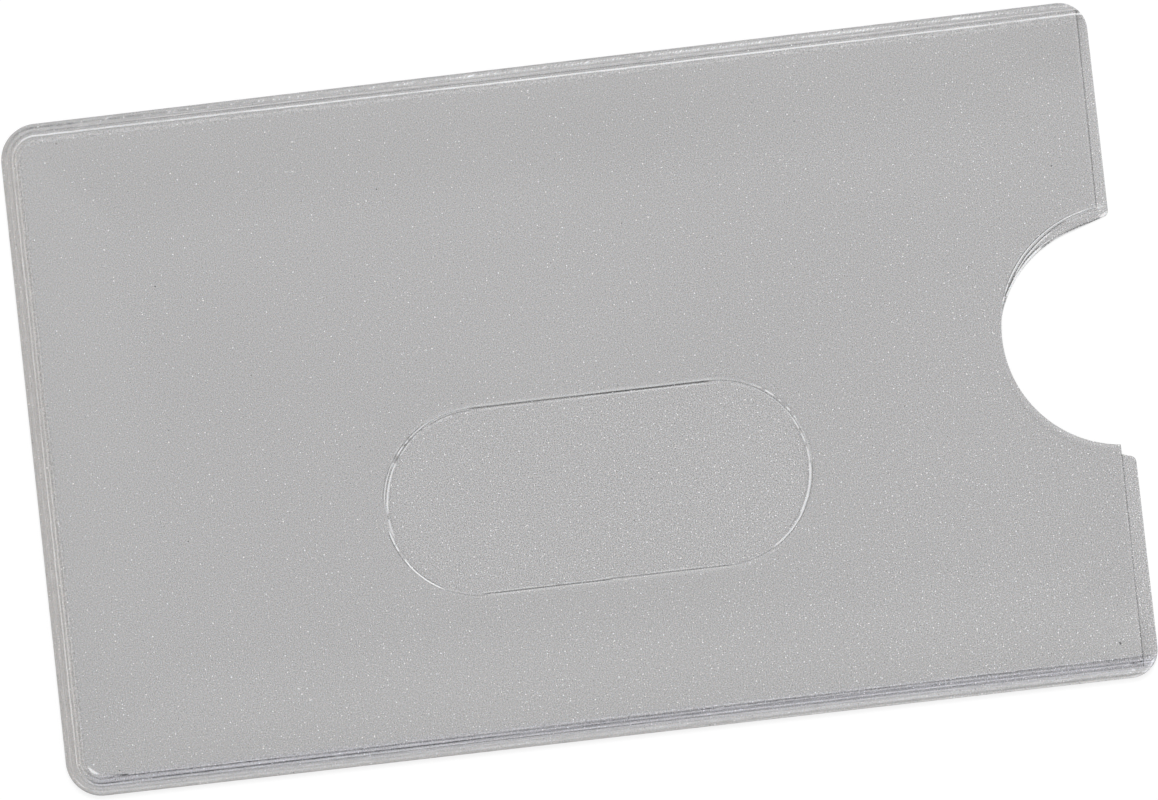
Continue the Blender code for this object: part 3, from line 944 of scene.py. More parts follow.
@dataclass
class RearFilm(Film):
    """The whole rear film, which the sleeve lies on."""

    name: str = "rear_film_sheet"
    replaces: str = "rear_film"
    beside_rings: tuple[float, ...] = (0.0, 0.03, 0.07, 0.11, 0.16, 0.21, 0.27, 0.35, 0.45)
    beside_turn: Pair = (88.0, 185.0)
    cut_seed: int = 700
    strip_reach: float = 0.12
    strip_light_shares: Pair = (0.08, 0.06)
    scuff_turn: Pair = (-105.0, -8.0)
    scuff_fade: float = 20.0
    scuff_at: float = 0.09
    scuff_reach: float = 0.14
    scuff_share: float = 0.60
    over_seam: float = 0.003

    def ends_at(self, inward: float) -> Pair:
        """X where a line inside the welded sides meets the mouth's edge."""
        return mouth_end(inward), mouth_end(inward)

    def end_line(self, inset: float) -> Line:
        """Line at one distance inside the film's whole edge at the mouth.

        Args:
            inset: Distance from the edge.

        Returns:
            Points from the lower side to the upper one.
        """
        step, flare, notch = self.step, PLAN.flare, PLAN.rear_notch
        radius, edge_x = PLAN.mouth_radius, PLAN.mouth_x - inset
        x, y = PLAN.mouth_x - radius, PLAN.side_y - radius
        turn = math.acos((radius - self.tucked) / (radius - inset))
        bow = notch.arc(3 * QUARTER - flare, QUARTER + flare, step, inset)
        tip = PLAN.rear_tip_radius - inset
        low_tip = Circle(PLAN.tip_x, notch.y - PLAN.tip_y, tip).arc(
            0.0, QUARTER - flare, step / 2)
        high_tip = Circle(PLAN.tip_x, notch.y + PLAN.tip_y, tip).arc(
            flare - QUARTER, 0.0, step / 2)
        return joined(
            Circle(x, -y, radius - inset).arc(turn - QUARTER, 0.0, step),
            straight((edge_x, -y), low_tip[0], step), low_tip,
            straight(low_tip[-1], bow[0], step), bow,
            straight(bow[-1], high_tip[0], step), high_tip,
            straight(high_tip[-1], (edge_x, y), step),
            Circle(x, y, radius - inset).arc(0.0, QUARTER - turn, step))

    def guides(self) -> list[Line]:
        """The film's own lines, and lines just outside the front film's cut edges.

        Returns:
            The lines.
        """
        lines = super().guides()
        start, end = (math.radians(angle) for angle in self.beside_turn)
        reach = PLAN.side_y - self.tucked
        for off in self.beside_rings:
            lines += [slot_line(-off, self.step),
                      PLAN.front_notch.arc(start, end, self.step, -off),
                      straight((PLAN.lip_x(-reach) + off, -reach),
                               (PLAN.lip_x(reach) + off, reach), self.step)]
        return lines

    def edge(self, spots: Spots) -> Values:
        """Distance inwards from the film's edge."""
        return np.minimum(spots.inward - self.tucked, spots.rear_end)

    def faces(self, spots: Spots) -> tuple[Values, Values]:
        """Heights of the two faces of the film.

        Args:
            spots: Places in the plan.

        Returns:
            The heights of the upper and of the lower face.
        """
        low = np.maximum(self.relief.lower(spots), 0.0)
        low = low + self.over_seam * (spots.inward < PLAN.weld_width)
        return low + PLAN.film, low

    def tone(self, spots: Spots) -> Values:
        """Lightness of each point, with the cut edges' painted highlights and shade, painted light
        on the bare strip and the scuffed tip at the mouth.

        Args:
            spots: Places in the plan.

        Returns:
            Shares of the finish's plain tone.
        """
        # Painted light: the bare strip of rear film outside the front film's lip is made lighter,
        # for light coming through the single film and to lift the shade of the lip.
        strip = eased(-spots.lip / self.strip_reach) * np.where(spots.y > 0, *self.strip_light_shares)
        to_x, to_y = spots.x - PLAN.tip_x, spots.y - PLAN.rear_notch.y - PLAN.tip_y
        angle = np.degrees(np.arctan2(to_y, to_x))
        start, end = self.scuff_turn
        on_tip = (eased((angle - start) / self.scuff_fade)
                  * eased((end - angle) / self.scuff_fade))
        near = np.hypot(to_x, to_y) < PLAN.rear_tip_radius + 0.1
        worn = bell(spots.rear_end, self.scuff_at, self.scuff_reach) * on_tip * near
        lines = self.cuts.on_film(spots, self.cuts.rear_notch, self.cut_seed)
        return super().tone(spots) + lines + strip + self.scuff_share * worn


@dataclass
class FrontFilm(Film):
    """The front film, shorter at the mouth, with the thumb slot cut in it."""

    name: str = "front_film_sheet"
    replaces: str = "front_film"
    through_rings: tuple[float, ...] = (-0.10, -0.04, 0.02, 0.08, 0.14)
    through_turn: Pair = (192.0, 252.0)
    cut_seed: int = 500
    rest_gap: float = 0.02
    under_seam: float = 0.006
    squeeze: float = 0.06
    squeeze_reach: float = 0.40
    sag_from: float = 1.7
    sag_run: float = 9.0
    press_from: float = 12.5
    press_run: float = 9.0
    mouth_sag_from: float = 1.3
    mouth_sag_run: float = 6.0
    meeting_rounds: int = 12

    def ends_at(self, inward: float) -> Pair:
        """X where a line inside the welded sides meets the film's askew edge."""
        return PLAN.lip_x(inward - PLAN.side_y), PLAN.lip_x(PLAN.side_y - inward)

    def notch_meets(self, inset: float, side: float) -> float:
        """Y of a point where the notch's line meets the askew edge's line.

        Args:
            inset: Distance of both lines from the edge.
            side: 1 for the upper point, and -1 for the lower one.

        Returns:
            Its Y, from rounds that each bring it nearer.
        """
        notch = PLAN.front_notch
        radius = notch.radius + inset
        y = notch.y + side * radius
        for _ in range(self.meeting_rounds):
            x = PLAN.lip_x(y) - inset * math.hypot(1.0, PLAN.lip_skew / PLAN.width)
            y = notch.y + side * math.sqrt(radius ** 2 - (notch.x - x) ** 2)
        return y

    def end_line(self, inset: float) -> Line:
        """Line at one distance inside the film's edge at the mouth.

        Args:
            inset: Distance from the edge.

        Returns:
            Points from the lower side to the upper one.
        """
        notch, side_y = PLAN.front_notch, PLAN.side_y - self.tucked
        back = inset * math.hypot(1.0, PLAN.lip_skew / PLAN.width)
        ys = (-side_y, self.notch_meets(inset, -1.0), self.notch_meets(inset, 1.0), side_y)
        places = [(PLAN.lip_x(y) - back, y) for y in ys]
        start, end = (math.atan2(y - notch.y, x - notch.x) % (2 * math.pi)
                      for x, y in places[1:3])
        return joined(straight(places[0], places[1], self.step),
                      notch.arc(start, end, self.step, inset),
                      straight(places[2], places[3], self.step))

    def guides(self) -> list[Line]:
        """The film's own lines, those round the slot, and the rear notch seen through it.

        Returns:
            The lines.
        """
        start, end = (math.radians(angle) for angle in self.through_turn)
        return (super().guides() + [slot_line(inset, self.step) for inset in self.cut_rings]
                + [PLAN.rear_notch.arc(start, end, self.step, off) for off in self.through_rings])

    def cut(self, spots: Spots) -> Values:
        """Distance inwards from the film's cut edges."""
        return np.minimum(np.minimum(spots.lip, spots.front_notch), spots.slot)

    def edge(self, spots: Spots) -> Values:
        """Distance inwards from the film's edges."""
        return np.minimum(spots.inward - self.tucked, self.cut(spots))

    def faces(self, spots: Spots) -> tuple[Values, Values]:
        """Heights of the two faces, with the film sagging on to the rear one.

        Args:
            spots: Places in the plan.

        Returns:
            The heights of the upper and of the lower face.
        """
        free = self.relief.upper(spots) - self.under_seam * (spots.inward < PLAN.weld_width)
        pressed = np.maximum(self.relief.lower(spots), 0.0) + 2 * PLAN.film + self.rest_gap
        at_mouth = eased((spots.x - PLAN.mouth_x + self.press_from) / self.press_run)
        share = np.maximum(eased((spots.inward - self.sag_from) / self.sag_run),
                           at_mouth * eased((spots.inward - self.mouth_sag_from)
                                            / self.mouth_sag_run))
        low = free + (pressed - free) * share - PLAN.film
        thin = self.squeeze * bell(self.cut(spots), 0.0, self.squeeze_reach)
        return low + PLAN.film - thin, low

    def tone(self, spots: Spots) -> Values:
        """Lightness of each point, with the painted highlight and shade lines along the cut edges.
        """
        return super().tone(spots) + self.cuts.on_film(spots, self.cuts.seen_through,
                                                     self.cut_seed)


def grey(level: float) -> tuple[float, float, float, float]:
    """Opaque grey, as a linear colour."""
    return level, level, level, 1.0


class Graph:
    """A node tree, with short ways to add nodes and join them."""

    def __init__(self, tree: bpy.types.NodeTree) -> None:
        """Keeps the tree."""
        self.tree = tree

    def join(self, value: Feed, socket: Socket) -> None:
        """Feeds a socket with another socket, or sets its plain value.

        Args:
            value: The other socket, or the value.
            socket: The socket to feed.
        """
        if isinstance(value, Socket):
            self.tree.links.new(value, socket)
        else:
            socket.default_value = value

    def node(self, kind: str, inputs: tuple | dict = (), **settings: str | bool) -> Node:
        """Adds a node.

        Args:
            kind: The node's type.
            inputs: Sockets or plain values that go in, in order or by name or number.
            settings: The node's options.

        Returns:
            The node.
        """
        made = self.tree.nodes.new(kind)
        for name, setting in settings.items():
            setattr(made, name, setting)
        named = inputs if isinstance(inputs, dict) else dict(enumerate(inputs))
        for key, value in named.items():
            self.join(value, made.inputs[key])
        return made

    def math(self, operation: str, *values: Feed, clamp: bool = False) -> Socket:
        """Adds a sum of numbers."""
        return self.node("ShaderNodeMath", values, operation=operation,
                         use_clamp=clamp).outputs[0]

    def times(self, first: Feed, second: Feed, plus: Feed | None = None) -> Socket:
        """Multiplies two numbers, and may add a third."""
        more = () if plus is None else (plus,)
        return self.math("MULTIPLY_ADD" if more else "MULTIPLY", first, second, *more)

    def vector(self, operation: str, *values: Feed) -> Socket:
        """Adds a sum of vectors, and picks the number where that is its result."""
        made = self.node("ShaderNodeVectorMath", values, operation=operation)
        return made.outputs["Value" if operation in ("LENGTH", "DOT_PRODUCT") else 0]

    def scaled(self, value: Feed, factor: Feed) -> Socket:
        """Multiplies a vector by a number."""
        return self.node("ShaderNodeVectorMath", {0: value, "Scale": factor},
                         operation="SCALE").outputs[0]

    def step(self, value: Feed, low: Feed, high: Feed, bottom: float = 0.0,
             top: float = 1.0) -> Socket:
        """Smoothly maps a value from its low to its high limit to a range from bottom to top."""
        return self.node("ShaderNodeMapRange", (value, low, high, bottom, top),
                         interpolation_type="SMOOTHSTEP", clamp=True).outputs[0]

    def seen_directly(self) -> Socket:
        """Socket that is 1 for rays from the camera, and for mirrored and passing ones.

        Returns:
            The socket, 0 for all other rays.
        """
        rays = self.node("ShaderNodeLightPath").outputs
        first = self.math("MAXIMUM", rays["Is Camera Ray"], rays["Is Glossy Ray"])
        return self.math("MAXIMUM", first, rays["Is Transmission Ray"])


class Recipe(Graph):
    """The node tree of one finish, with the marks and patterns of the film."""

    def __init__(self, name: str) -> None:
        """Makes the material and its coordinates in millimetres.

        Args:
            name: The material's name.
        """
        self.material = bpy.data.materials.new(name)
        self.material.use_nodes = True
        super().__init__(self.material.node_tree)
        self.shader = self.tree.nodes["Principled BSDF"]
        self.place = self.scaled(self.node("ShaderNodeTexCoord").outputs["Object"], 1.0 / MM)

    def mark(self, name: str) -> Socket:
        """Reads one of the values kept at the mesh's points."""
        return self.node("ShaderNodeAttribute", attribute_name=name).outputs["Fac"]

    def noise(self, scale: float, detail: float, roughness: float = 0.5,
              place: Feed | None = None, output: str = "Fac") -> Socket:
        """Adds flat noise.

        Args:
            scale: Waves per millimetre.
            detail: Number of finer layers on top.
            roughness: Strength of each finer layer.
            place: Coordinates, or None for the plan's own.
            output: Fac for one value, or Color for three.

        Returns:
            The socket that holds the noise.
        """
        return self.node("ShaderNodeTexNoise", {
            "Vector": place or self.place, "Scale": scale, "Detail": detail,
            "Roughness": roughness}, noise_dimensions="2D").outputs[output]

    def tint(self, colour: Feed, factors: Triple, share: Feed) -> Socket:
        """Mixes in a colour cast, by a share.

        Args:
            colour: Socket with the colour so far.
            factors: Triple for its red, green and blue.
            share: Socket with the share of the cast.

        Returns:
            A socket with the new colour.
        """
        cast = self.vector("MULTIPLY", colour, factors)
        return self.node("ShaderNodeMix", {0: share, 6: colour, 7: cast},
                         data_type="RGBA").outputs[2]


@dataclass(frozen=True)
class Flecks:
    """A layer of tiny marks in the film, spread over it with a chance that may grow. Bright marks
    with a dark halo stand partly for specks in the film and partly for painted sparkle.
    """

    scale: float
    least_share: float
    most_share: float
    least_size: float
    size_range: float
    strength: float
    turn: float = 0.0
    stretch: float = 1.0
    halo: float = 0.05
    hollow: bool = False
    halo_reach: float = 2.2
    core_reach: float = 0.4
    ring_edge: Pair = (0.06, 0.01)
    ring_side: Pair = (-0.1, 0.2)
    least_power: float = 0.25

    def cells(self, recipe: Recipe, seed: float) -> tuple[Socket, bpy.types.bpy_prop_collection]:
        """Scatters the cells that may each hold a mark.

        Args:
            recipe: The finish that they belong to.
            seed: Number that keeps the layer apart from the others.

        Returns:
            The place measured from the nearest cell's own point, and its three random values.
        """
        moved = recipe.vector("ADD", recipe.place, (seed, 1.7 * seed, 0.0))
        if self.turn:
            moved = recipe.node("ShaderNodeVectorRotate", {
                "Vector": moved, "Angle": math.radians(self.turn)},
                rotation_type="Z_AXIS").outputs[0]
        flat = recipe.vector("MULTIPLY", moved, (1.0 / self.stretch, 1.0, 0.0))
        made = recipe.node("ShaderNodeTexVoronoi", {"Vector": flat, "Scale": self.scale},
                           voronoi_dimensions="2D", feature="F1").outputs
        return (recipe.vector("SUBTRACT", flat, made["Position"]),
                recipe.node("ShaderNodeSeparateColor", (made["Color"],)).outputs)

    def add(self, recipe: Recipe, spread: Socket, seed: float) -> Socket:
        """Draws the layer.

        Args:
            recipe: The finish that it belongs to.
            spread: Socket from 0 to 1 that says where the marks are densest.
            seed: Number that keeps the layer apart from the others.

        Returns:
            A socket with the lightness that the marks add.
        """
        away, random = self.cells(recipe, seed)
        length = recipe.vector("LENGTH", away)
        size = recipe.times(random[1], self.size_range, self.least_size)
        if self.hollow:
            length = recipe.math("ABSOLUTE", recipe.math("SUBTRACT", length, size))
            side = recipe.vector("DOT_PRODUCT", away, (1.0, -1.0, 0.0))
            dot = recipe.times(recipe.step(length, *self.ring_edge),
                               recipe.step(side, *self.ring_side))
        else:
            halo = recipe.step(length, recipe.times(size, self.halo_reach), size)
            core = recipe.step(length, size, recipe.times(size, self.core_reach))
            dot = recipe.times(halo, -self.halo, core)
        share = recipe.times(spread, self.most_share - self.least_share, self.least_share)
        chosen = recipe.math("LESS_THAN", random[0], share)
        power = recipe.times(random[2], (1.0 - self.least_power) * self.strength,
                             self.least_power * self.strength)
        return recipe.times(recipe.times(dot, chosen), power)


@dataclass(frozen=True)
class ScarOrGlint:
    """One mark: a dot, a stroke or a bowed stroke, lighter or darker than the film. Most are marks
    of handling, and a few are painted highlights.

    Its length and width are counted from its middle, and its bow is the radius that it follows.
    """

    x: float
    y: float
    length: float
    width: float
    share: float
    turn: float = 0.0
    bow: float = 0.0

    def add(self, recipe: Recipe, tone: Socket) -> Socket:
        """Draws the mark.

        Args:
            recipe: The finish that it belongs to.
            tone: Socket with the tone so far.

        Returns:
            A socket with the tone and the mark in it.
        """
        place = recipe.node("ShaderNodeMapping", {
            "Vector": recipe.place, "Location": (self.x, self.y, 0.0),
            "Rotation": (0.0, 0.0, math.radians(self.turn)),
            "Scale": (self.length, self.width, 1.0 / MM)}, vector_type="TEXTURE").outputs[0]
        if self.bow:
            x, y, _ = recipe.node("ShaderNodeSeparateXYZ", (place,)).outputs
            bend = self.length ** 2 / (2.0 * self.bow * self.width)
            place = recipe.node("ShaderNodeCombineXYZ", (
                x, recipe.times(recipe.times(x, x), -bend, y))).outputs[0]
        dot = recipe.step(recipe.vector("LENGTH", place), 1.0, MARK_EDGE)
        return recipe.times(dot, self.share, tone)


# The first two front marks are painted highlights: a bright curve inside the lower closed corner
# and a thin ridge line beside it. The rest are marks of handling.
FRONT_SCARS_AND_GLINTS = (
    ScarOrGlint(-44.24, -26.63, 0.74, 0.17, 0.95, -41.0, 1.3),
    ScarOrGlint(-44.78, -27.27, 0.85, 0.07, 0.35, -48.0, 2.14),
    ScarOrGlint(-42.05, -27.17, 0.9, 0.06, -0.75, -4.0), ScarOrGlint(-41.54, -27.2, 0.4, 0.09, -0.7, -3.0),
    ScarOrGlint(-40.65, -27.23, 0.15, 0.07, -0.45), ScarOrGlint(-41.96, -26.8, 0.08, 0.08, -0.75),
    ScarOrGlint(-40.53, -27.4, 0.12, 0.1, 0.75), ScarOrGlint(-44.09, -26.04, 0.11, 0.11, 0.65),
    ScarOrGlint(43.45, -25.75, 0.19, 0.09, -1.0, -58.0), ScarOrGlint(44.41, -27.56, 0.44, 0.09, -0.7, -5.0),
    ScarOrGlint(45.0, -27.47, 0.11, 0.09, -0.8), ScarOrGlint(42.72, -24.54, 0.5, 0.4, -0.06, 30.0),
    ScarOrGlint(-22.36, 22.11, 0.26, 0.06, 0.4, 0.0, 0.3), ScarOrGlint(-21.84, 22.08, 0.26, 0.06, 0.4, 0.0, -0.3),
    ScarOrGlint(-9.7, 0.82, 0.09, 0.09, -0.5), ScarOrGlint(3.63, 0.82, 0.09, 0.09, -0.5),
    ScarOrGlint(-41.59, 26.78, 0.09, 0.09, -0.5), ScarOrGlint(-14.9, 19.77, 0.09, 0.09, -0.5),
    ScarOrGlint(-39.0, 21.65, 0.1, 0.1, 0.6), ScarOrGlint(-21.6, 24.6, 0.1, 0.1, 0.6),
    ScarOrGlint(-16.6, 18.7, 0.1, 0.1, 0.6), ScarOrGlint(-34.47, 22.58, 0.22, 0.06, 0.3, 60.0),
    ScarOrGlint(-26.1, -21.63, 0.14, 0.09, 0.8, -30.0), ScarOrGlint(-25.2, -22.7, 0.18, 0.08, 0.7, 10.0))
REAR_SCARS = (
    ScarOrGlint(46.03, 10.42, 0.44, 0.14, 1.35, 25.0), ScarOrGlint(45.95, -27.6, 0.5, 0.11, 0.9, 55.0, 2.25),
    ScarOrGlint(46.09, -27.72, 0.55, 0.05, -0.4, 55.0, 2.4), ScarOrGlint(5.62, -7.34, 0.09, 0.09, -0.55),
    ScarOrGlint(4.41, -9.08, 0.09, 0.09, -0.5), ScarOrGlint(12.45, -1.99, 0.09, 0.09, -0.45))
# The first weld mark is a painted highlight along a ridge in the lower closed corner; the second is
# a scuff at the lower mouth corner.
WELD_SCARS_AND_GLINTS = (
    ScarOrGlint(-45.45, -27.56, 0.92, 0.07, 0.4, -48.0, 2.8), ScarOrGlint(44.3, -28.1, 0.22, 0.09, 0.7, -10.0))


@dataclass(frozen=True)
class FrostedVinyl:
    """Matt grey vinyl film: fine pressed grain, scattered flecks that are partly painted sparkle,
    faint rubs, and a few painted highlights among the rubs.
    """

    name: str = "frosted_vinyl"
    level: float = 0.462
    roughness: float = 0.42
    relief: float = 0.012
    grain_scale: float = 10.5
    grain: Pair = (0.94, 0.58)
    colour_grain: float = 0.16
    flecking: float = 1.0
    stipple: float = 0.7
    darkest: float = 0.15
    brightest: float = 0.93
    clouds: Pair = (0.988, 1.012)
    cloud_scale: float = 0.035
    cast: Triple = (1.009, 1.0, 1.007)
    hue_move: Triple = (31.0, 17.0, 0.0)
    hue_scale: float = 7.0
    strong_cast: Triple = (0.986, 1.0, 1.004)
    warm_cast: Triple = (1.022, 1.0, 0.976)
    cool_cast: Triple = (0.998, 1.0, 1.058)
    streak_stretch: Pair = (0.55, 6.0)
    streak_share: float = 0.5
    scars_and_glints: tuple[ScarOrGlint, ...] = FRONT_SCARS_AND_GLINTS
    flecks: tuple[Flecks, ...] = (
        Flecks(4.4, 0.04, 0.40, 0.038, 0.022, 1.06),
        Flecks(1.9, 0.04, 0.42, 0.050, 0.032, 2.10),
        Flecks(3.9, 0.04, 0.40, 0.042, 0.026, -0.44),
        Flecks(0.26, 0.14, 0.22, 0.22, 0.10, 0.16, hollow=True),
        Flecks(0.13, 0.30, 0.30, 0.050, 0.050, -0.85),
        Flecks(0.55, 0.02, 0.06, 0.030, 0.020, 0.45, 38.0, 7.0))

    def spread(self, recipe: Recipe) -> Socket:
        """Socket that grows from 0 at the upper closed corner to 1 at the lower mouth corner.

        Args:
            recipe: The finish that it belongs to.

        Returns:
            The socket.
        """
        slope = (0.5 / PLAN.length, -0.5 / PLAN.width, 0.0)
        along = recipe.vector("DOT_PRODUCT", recipe.place, slope)
        return recipe.math("ADD", along, 0.5, clamp=True)

    def centred(self, recipe: Recipe, value: Socket) -> Socket:
        """A pattern's value, around 0."""
        return recipe.math("SUBTRACT", value, 0.5)

    def seam_grain(self, recipe: Recipe) -> Socket:
        """Fine streaks that run along the seam, from 0 to 1, and 0.5 away from it.

        Args:
            recipe: The finish that it belongs to.

        Returns:
            A socket with the streaks.
        """
        inward = recipe.mark("inward")
        place = recipe.node("ShaderNodeCombineXYZ", (
            recipe.times(recipe.mark("run"), self.streak_stretch[0]),
            recipe.times(inward, self.streak_stretch[1]))).outputs[0]
        streaks = recipe.noise(1.6, 2.0, 0.6, place)
        return recipe.times(self.centred(recipe, streaks), recipe.step(inward, 1.9, 1.6), 0.5)

    def border(self, recipe: Recipe) -> Socket:
        """Rough speckle beside the seam, around 0, where the film starts to lie flat.

        Args:
            recipe: The finish that it belongs to.

        Returns:
            A socket with the speckle.
        """
        inward = recipe.mark("inward")
        near = recipe.times(recipe.step(inward, 2.0, 1.7), recipe.step(inward, 1.25, 1.40))
        return recipe.times(self.centred(recipe, recipe.noise(5.0, 1.0, 0.6)), near)

    def tone(self, recipe: Recipe, fine: Socket) -> Socket:
        """Lightness of the film, as a share of its plain tone. It carries the painted highlights
        and shade of the mesh's tone mark, the flecks, and the marks, a few of which are painted
        highlights.

        Args:
            recipe: The finish that it belongs to.
            fine: Socket with the fine grain.

        Returns:
            A socket with the tone, kept within what plastic can reflect.
        """
        spread = self.spread(recipe)
        dense = recipe.times(recipe.times(spread, spread), self.flecking)
        amount = recipe.times(spread, self.grain[1], self.grain[0])
        grain = recipe.times(self.centred(recipe, fine), amount)
        tone = recipe.math("ADD", grain, recipe.mark("tone"))
        for number, layer in enumerate(self.flecks):
            tone = recipe.math("ADD", tone, layer.add(recipe, dense, 3.7 + 5.9 * number))
        for scar_or_glint in self.scars_and_glints:
            tone = scar_or_glint.add(recipe, tone)
        tone = recipe.times(self.centred(recipe, self.seam_grain(recipe)),
                            self.streak_share, tone)
        tone = recipe.times(self.border(recipe), self.stipple, tone)
        broad = recipe.step(recipe.noise(self.cloud_scale, 1.0), 0.3, 0.7, *self.clouds)
        tone = recipe.math("MAXIMUM", recipe.times(tone, broad), self.darkest)
        return recipe.math("MINIMUM", tone, self.brightest / self.level)

    def material(self) -> bpy.types.Material:
        """Makes the finish.

        Returns:
            The material for a film.
        """
        recipe = Recipe(self.name)
        fine = recipe.noise(self.grain_scale, 1.0, 0.7)
        plain = recipe.scaled(tuple(self.level * share for share in self.cast),
                              self.tone(recipe, fine))
        moved = recipe.vector("ADD", recipe.place, self.hue_move)
        hue = recipe.vector("SUBTRACT", recipe.noise(self.hue_scale, 0.0, 0.5, moved, "Color"),
                            (0.5, 0.5, 0.5))
        tinted = recipe.vector("MULTIPLY_ADD", hue, (self.colour_grain, 0.0, self.colour_grain),
                               (1.0, 1.0, 1.0))
        colour = recipe.vector("MULTIPLY", plain, tinted)
        # Where the tone strays far from 1, mostly at the painted highlights and shade lines,
        # strong_cast tints it slightly.
        strong = recipe.math("ABSOLUTE", recipe.math("SUBTRACT", recipe.mark("tone"), 1.0))
        warmth = recipe.mark("warmth")
        for factors, share in ((self.strong_cast, recipe.step(strong, 0.08, 0.5)),
                               (self.warm_cast, warmth),
                               (self.cool_cast, recipe.times(warmth, -1.0))):
            colour = recipe.tint(colour, factors, share)
        bump = recipe.node("ShaderNodeBump", {"Distance": self.relief * MM, "Height": fine})
        for name, value in (("Base Color", colour), ("Normal", bump.outputs[0]),
                            ("Roughness", self.roughness)):
            recipe.join(value, recipe.shader.inputs[name])
        return recipe.material


@dataclass(frozen=True)
class PressedWeld(FrostedVinyl):
    """The fused seam: smoother than the film, a little warm, with streaks along it."""

    name: str = "pressed_weld"
    level: float = 0.468
    roughness: float = 0.30
    relief: float = 0.006
    grain: Pair = (0.55, 0.35)
    stipple: float = 0.0
    scars_and_glints: tuple[ScarOrGlint, ...] = WELD_SCARS_AND_GLINTS
    flecks: tuple[Flecks, ...] = (
        Flecks(3.0, 0.25, 0.35, 0.05, 0.05, 0.50), Flecks(2.2, 0.15, 0.35, 0.05, 0.05, -0.45))


@dataclass(frozen=True)
class PaleFloor:
    """White paper that keeps a soft shadow while it shows as plain white."""

    name: str = "pale_floor"
    bounce: float = 0.80
    seen: float = 0.30
    glow: float = 0.76

    def material(self) -> bpy.types.Material:
        """Makes the finish.

        Returns:
            The material for the floor.
        """
        material = bpy.data.materials.new(self.name)
        material.use_nodes = True
        material.node_tree.nodes.clear()
        graph = Graph(material.node_tree)
        paper = graph.node("ShaderNodeBsdfDiffuse", {"Color": grey(self.bounce)}).outputs[0]
        shown = graph.node("ShaderNodeBsdfDiffuse", {"Color": grey(self.seen)}).outputs[0]
        light = graph.node("ShaderNodeEmission", {"Strength": self.glow}).outputs[0]
        both = graph.node("ShaderNodeAddShader", (shown, light)).outputs[0]
        mix = graph.node("ShaderNodeMixShader", (graph.seen_directly(), paper, both)).outputs[0]
        graph.node("ShaderNodeOutputMaterial", (mix,))
        return material


@dataclass(frozen=True)
class Lamp:
    """A soft lamp, placed by its direction from the sleeve."""

    name: str
    bearing: float
    height: float
    away: float
    size: float
    share: float

    def build(self) -> bpy.types.Object:
        """Makes the lamp.

        Its power gives a flat white surface under it the named share of full brightness.

        Returns:
            The new lamp.
        """
        bearing, height = math.radians(self.bearing), math.radians(self.height)
        towards = Vector((math.cos(bearing) * math.cos(height),
                          math.sin(bearing) * math.cos(height), math.sin(height)))
        data = bpy.data.lights.new(self.name, "AREA")
        data.shape = "SQUARE"
        data.size = self.size
        data.energy = self.share * math.pi ** 2 * self.away ** 2 / math.sin(height)
        item = placed(self.name, data)
        item.location = towards * self.away
        item.rotation_mode = "QUATERNION"
        item.rotation_quaternion = towards.to_track_quat("Z", "Y")
        return item


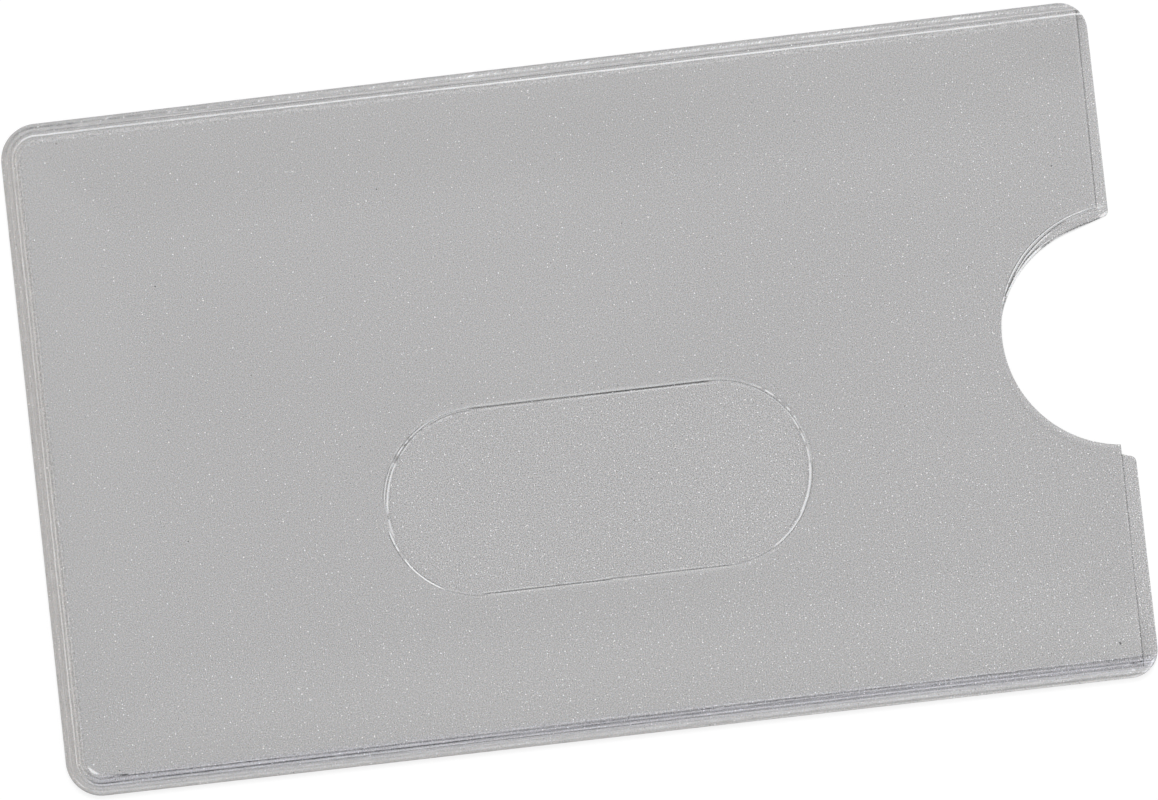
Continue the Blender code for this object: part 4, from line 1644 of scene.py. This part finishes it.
@dataclass
class Studio:
    """The floor, the soft light and the camera."""

    floor_size: float = 4.0
    floor_drop: float = 0.02
    floor_cells: int = 8
    sky: float = 0.505
    lamps: tuple[Lamp, ...] = (
        Lamp("upper_key", 82.0, 55.0, 0.90, 0.40, 0.325),
        Lamp("left_fill", 180.0, 18.0, 0.90, 0.35, 0.038),
        Lamp("right_fill", 0.0, 18.0, 0.90, 0.35, 0.069))
    camera_away: float = 1.200
    camera_turn: Triple = (3.960, 4.579, -6.313)
    camera_target: Triple = (0.235, -0.027, 0.5)
    sensor: float = 36.0
    pixels_per_mm: float = 11.8165

    def floor(self) -> bpy.types.Object:
        """Makes the floor.

        Returns:
            A wide flat sheet of paper.
        """
        row = self.floor_cells + 1
        line = np.linspace(-self.floor_size / 2, self.floor_size / 2, row)
        corners = (j * row + i for j in range(self.floor_cells) for i in range(self.floor_cells))
        mesh = bpy.data.meshes.new("floor")
        mesh.from_pydata([(x, y, -self.floor_drop * MM) for y in line for x in line], [],
                         [(a, a + 1, a + row + 1, a + row) for a in corners])
        mesh.materials.append(PaleFloor().material())
        item = placed("floor", mesh)
        return item

    def world(self) -> None:
        """Lights everything evenly, and shows white behind it."""
        world = bpy.data.worlds.new("studio")
        bpy.context.scene.world = world
        world.use_nodes = True
        graph = Graph(world.node_tree)
        strength = graph.node("ShaderNodeMapRange", {
            "Value": graph.seen_directly(), "To Min": self.sky, "To Max": 1.0}).outputs[0]
        background = world.node_tree.nodes["Background"]
        graph.join(grey(1.0), background.inputs["Color"])
        graph.join(strength, background.inputs["Strength"])

    def camera(self) -> bpy.types.Object:
        """Makes the camera at the photo's angle.

        Returns:
            The scene's camera.
        """
        data = bpy.data.cameras.new("camera")
        data.sensor_width = self.sensor
        data.lens = self.sensor * self.pixels_per_mm * self.camera_away / MM / PHOTO_WIDTH
        item = placed("camera", data)
        turn = Euler([math.radians(a) for a in self.camera_turn], "XYZ").to_matrix()
        item.rotation_euler = turn.to_euler("XYZ")
        item.location = Vector(self.camera_target) * MM + turn @ Vector((0, 0, self.camera_away))
        bpy.context.scene.camera = item
        return item

    def build(self) -> None:
        """Makes the whole studio."""
        bpy.context.scene.view_settings.view_transform = "Standard"
        self.floor()
        self.world()
        self.camera()
        for lamp in self.lamps:
            LOG.info("lamp %s", lamp.build().name)


@dataclass
class CardSleeve:
    """The whole sleeve: rear film, front film and the seam that joins them."""

    rear: RearFilm = field(default_factory=RearFilm)
    front: FrontFilm = field(default_factory=FrontFilm)
    weld: WeldBand = field(default_factory=WeldBand)
    front_vinyl: FrostedVinyl = FrostedVinyl()
    # The rear film's copy of the vinyl has a higher level than the front's: painted light, standing
    # in for light that comes through where the rear film lies alone.
    rear_vinyl: FrostedVinyl = FrostedVinyl(
        "rear_frosted_vinyl", 0.475, grain=(1.24, 0.76), flecking=2.1, scars_and_glints=REAR_SCARS)
    seam: PressedWeld = PressedWeld()

    def build(self) -> list[bpy.types.Object]:
        """Makes and dresses every piece.

        Returns:
            The pieces.
        """
        made = []
        for part, finish in ((self.rear, self.rear_vinyl), (self.front, self.front_vinyl),
                             (self.weld, self.seam)):
            item = part.build()
            item.data.materials.append(finish.material())
            LOG.info("%s: %d faces", item.name, len(item.data.polygons))
            made.append(item)
        return made


def main() -> None:
    """Builds the studio and the sleeve."""
    logging.basicConfig(level=logging.INFO, format="%(name)s: %(message)s")
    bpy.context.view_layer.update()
    Studio().build()
    CardSleeve().build()


if __name__ == "__main__":
    main()
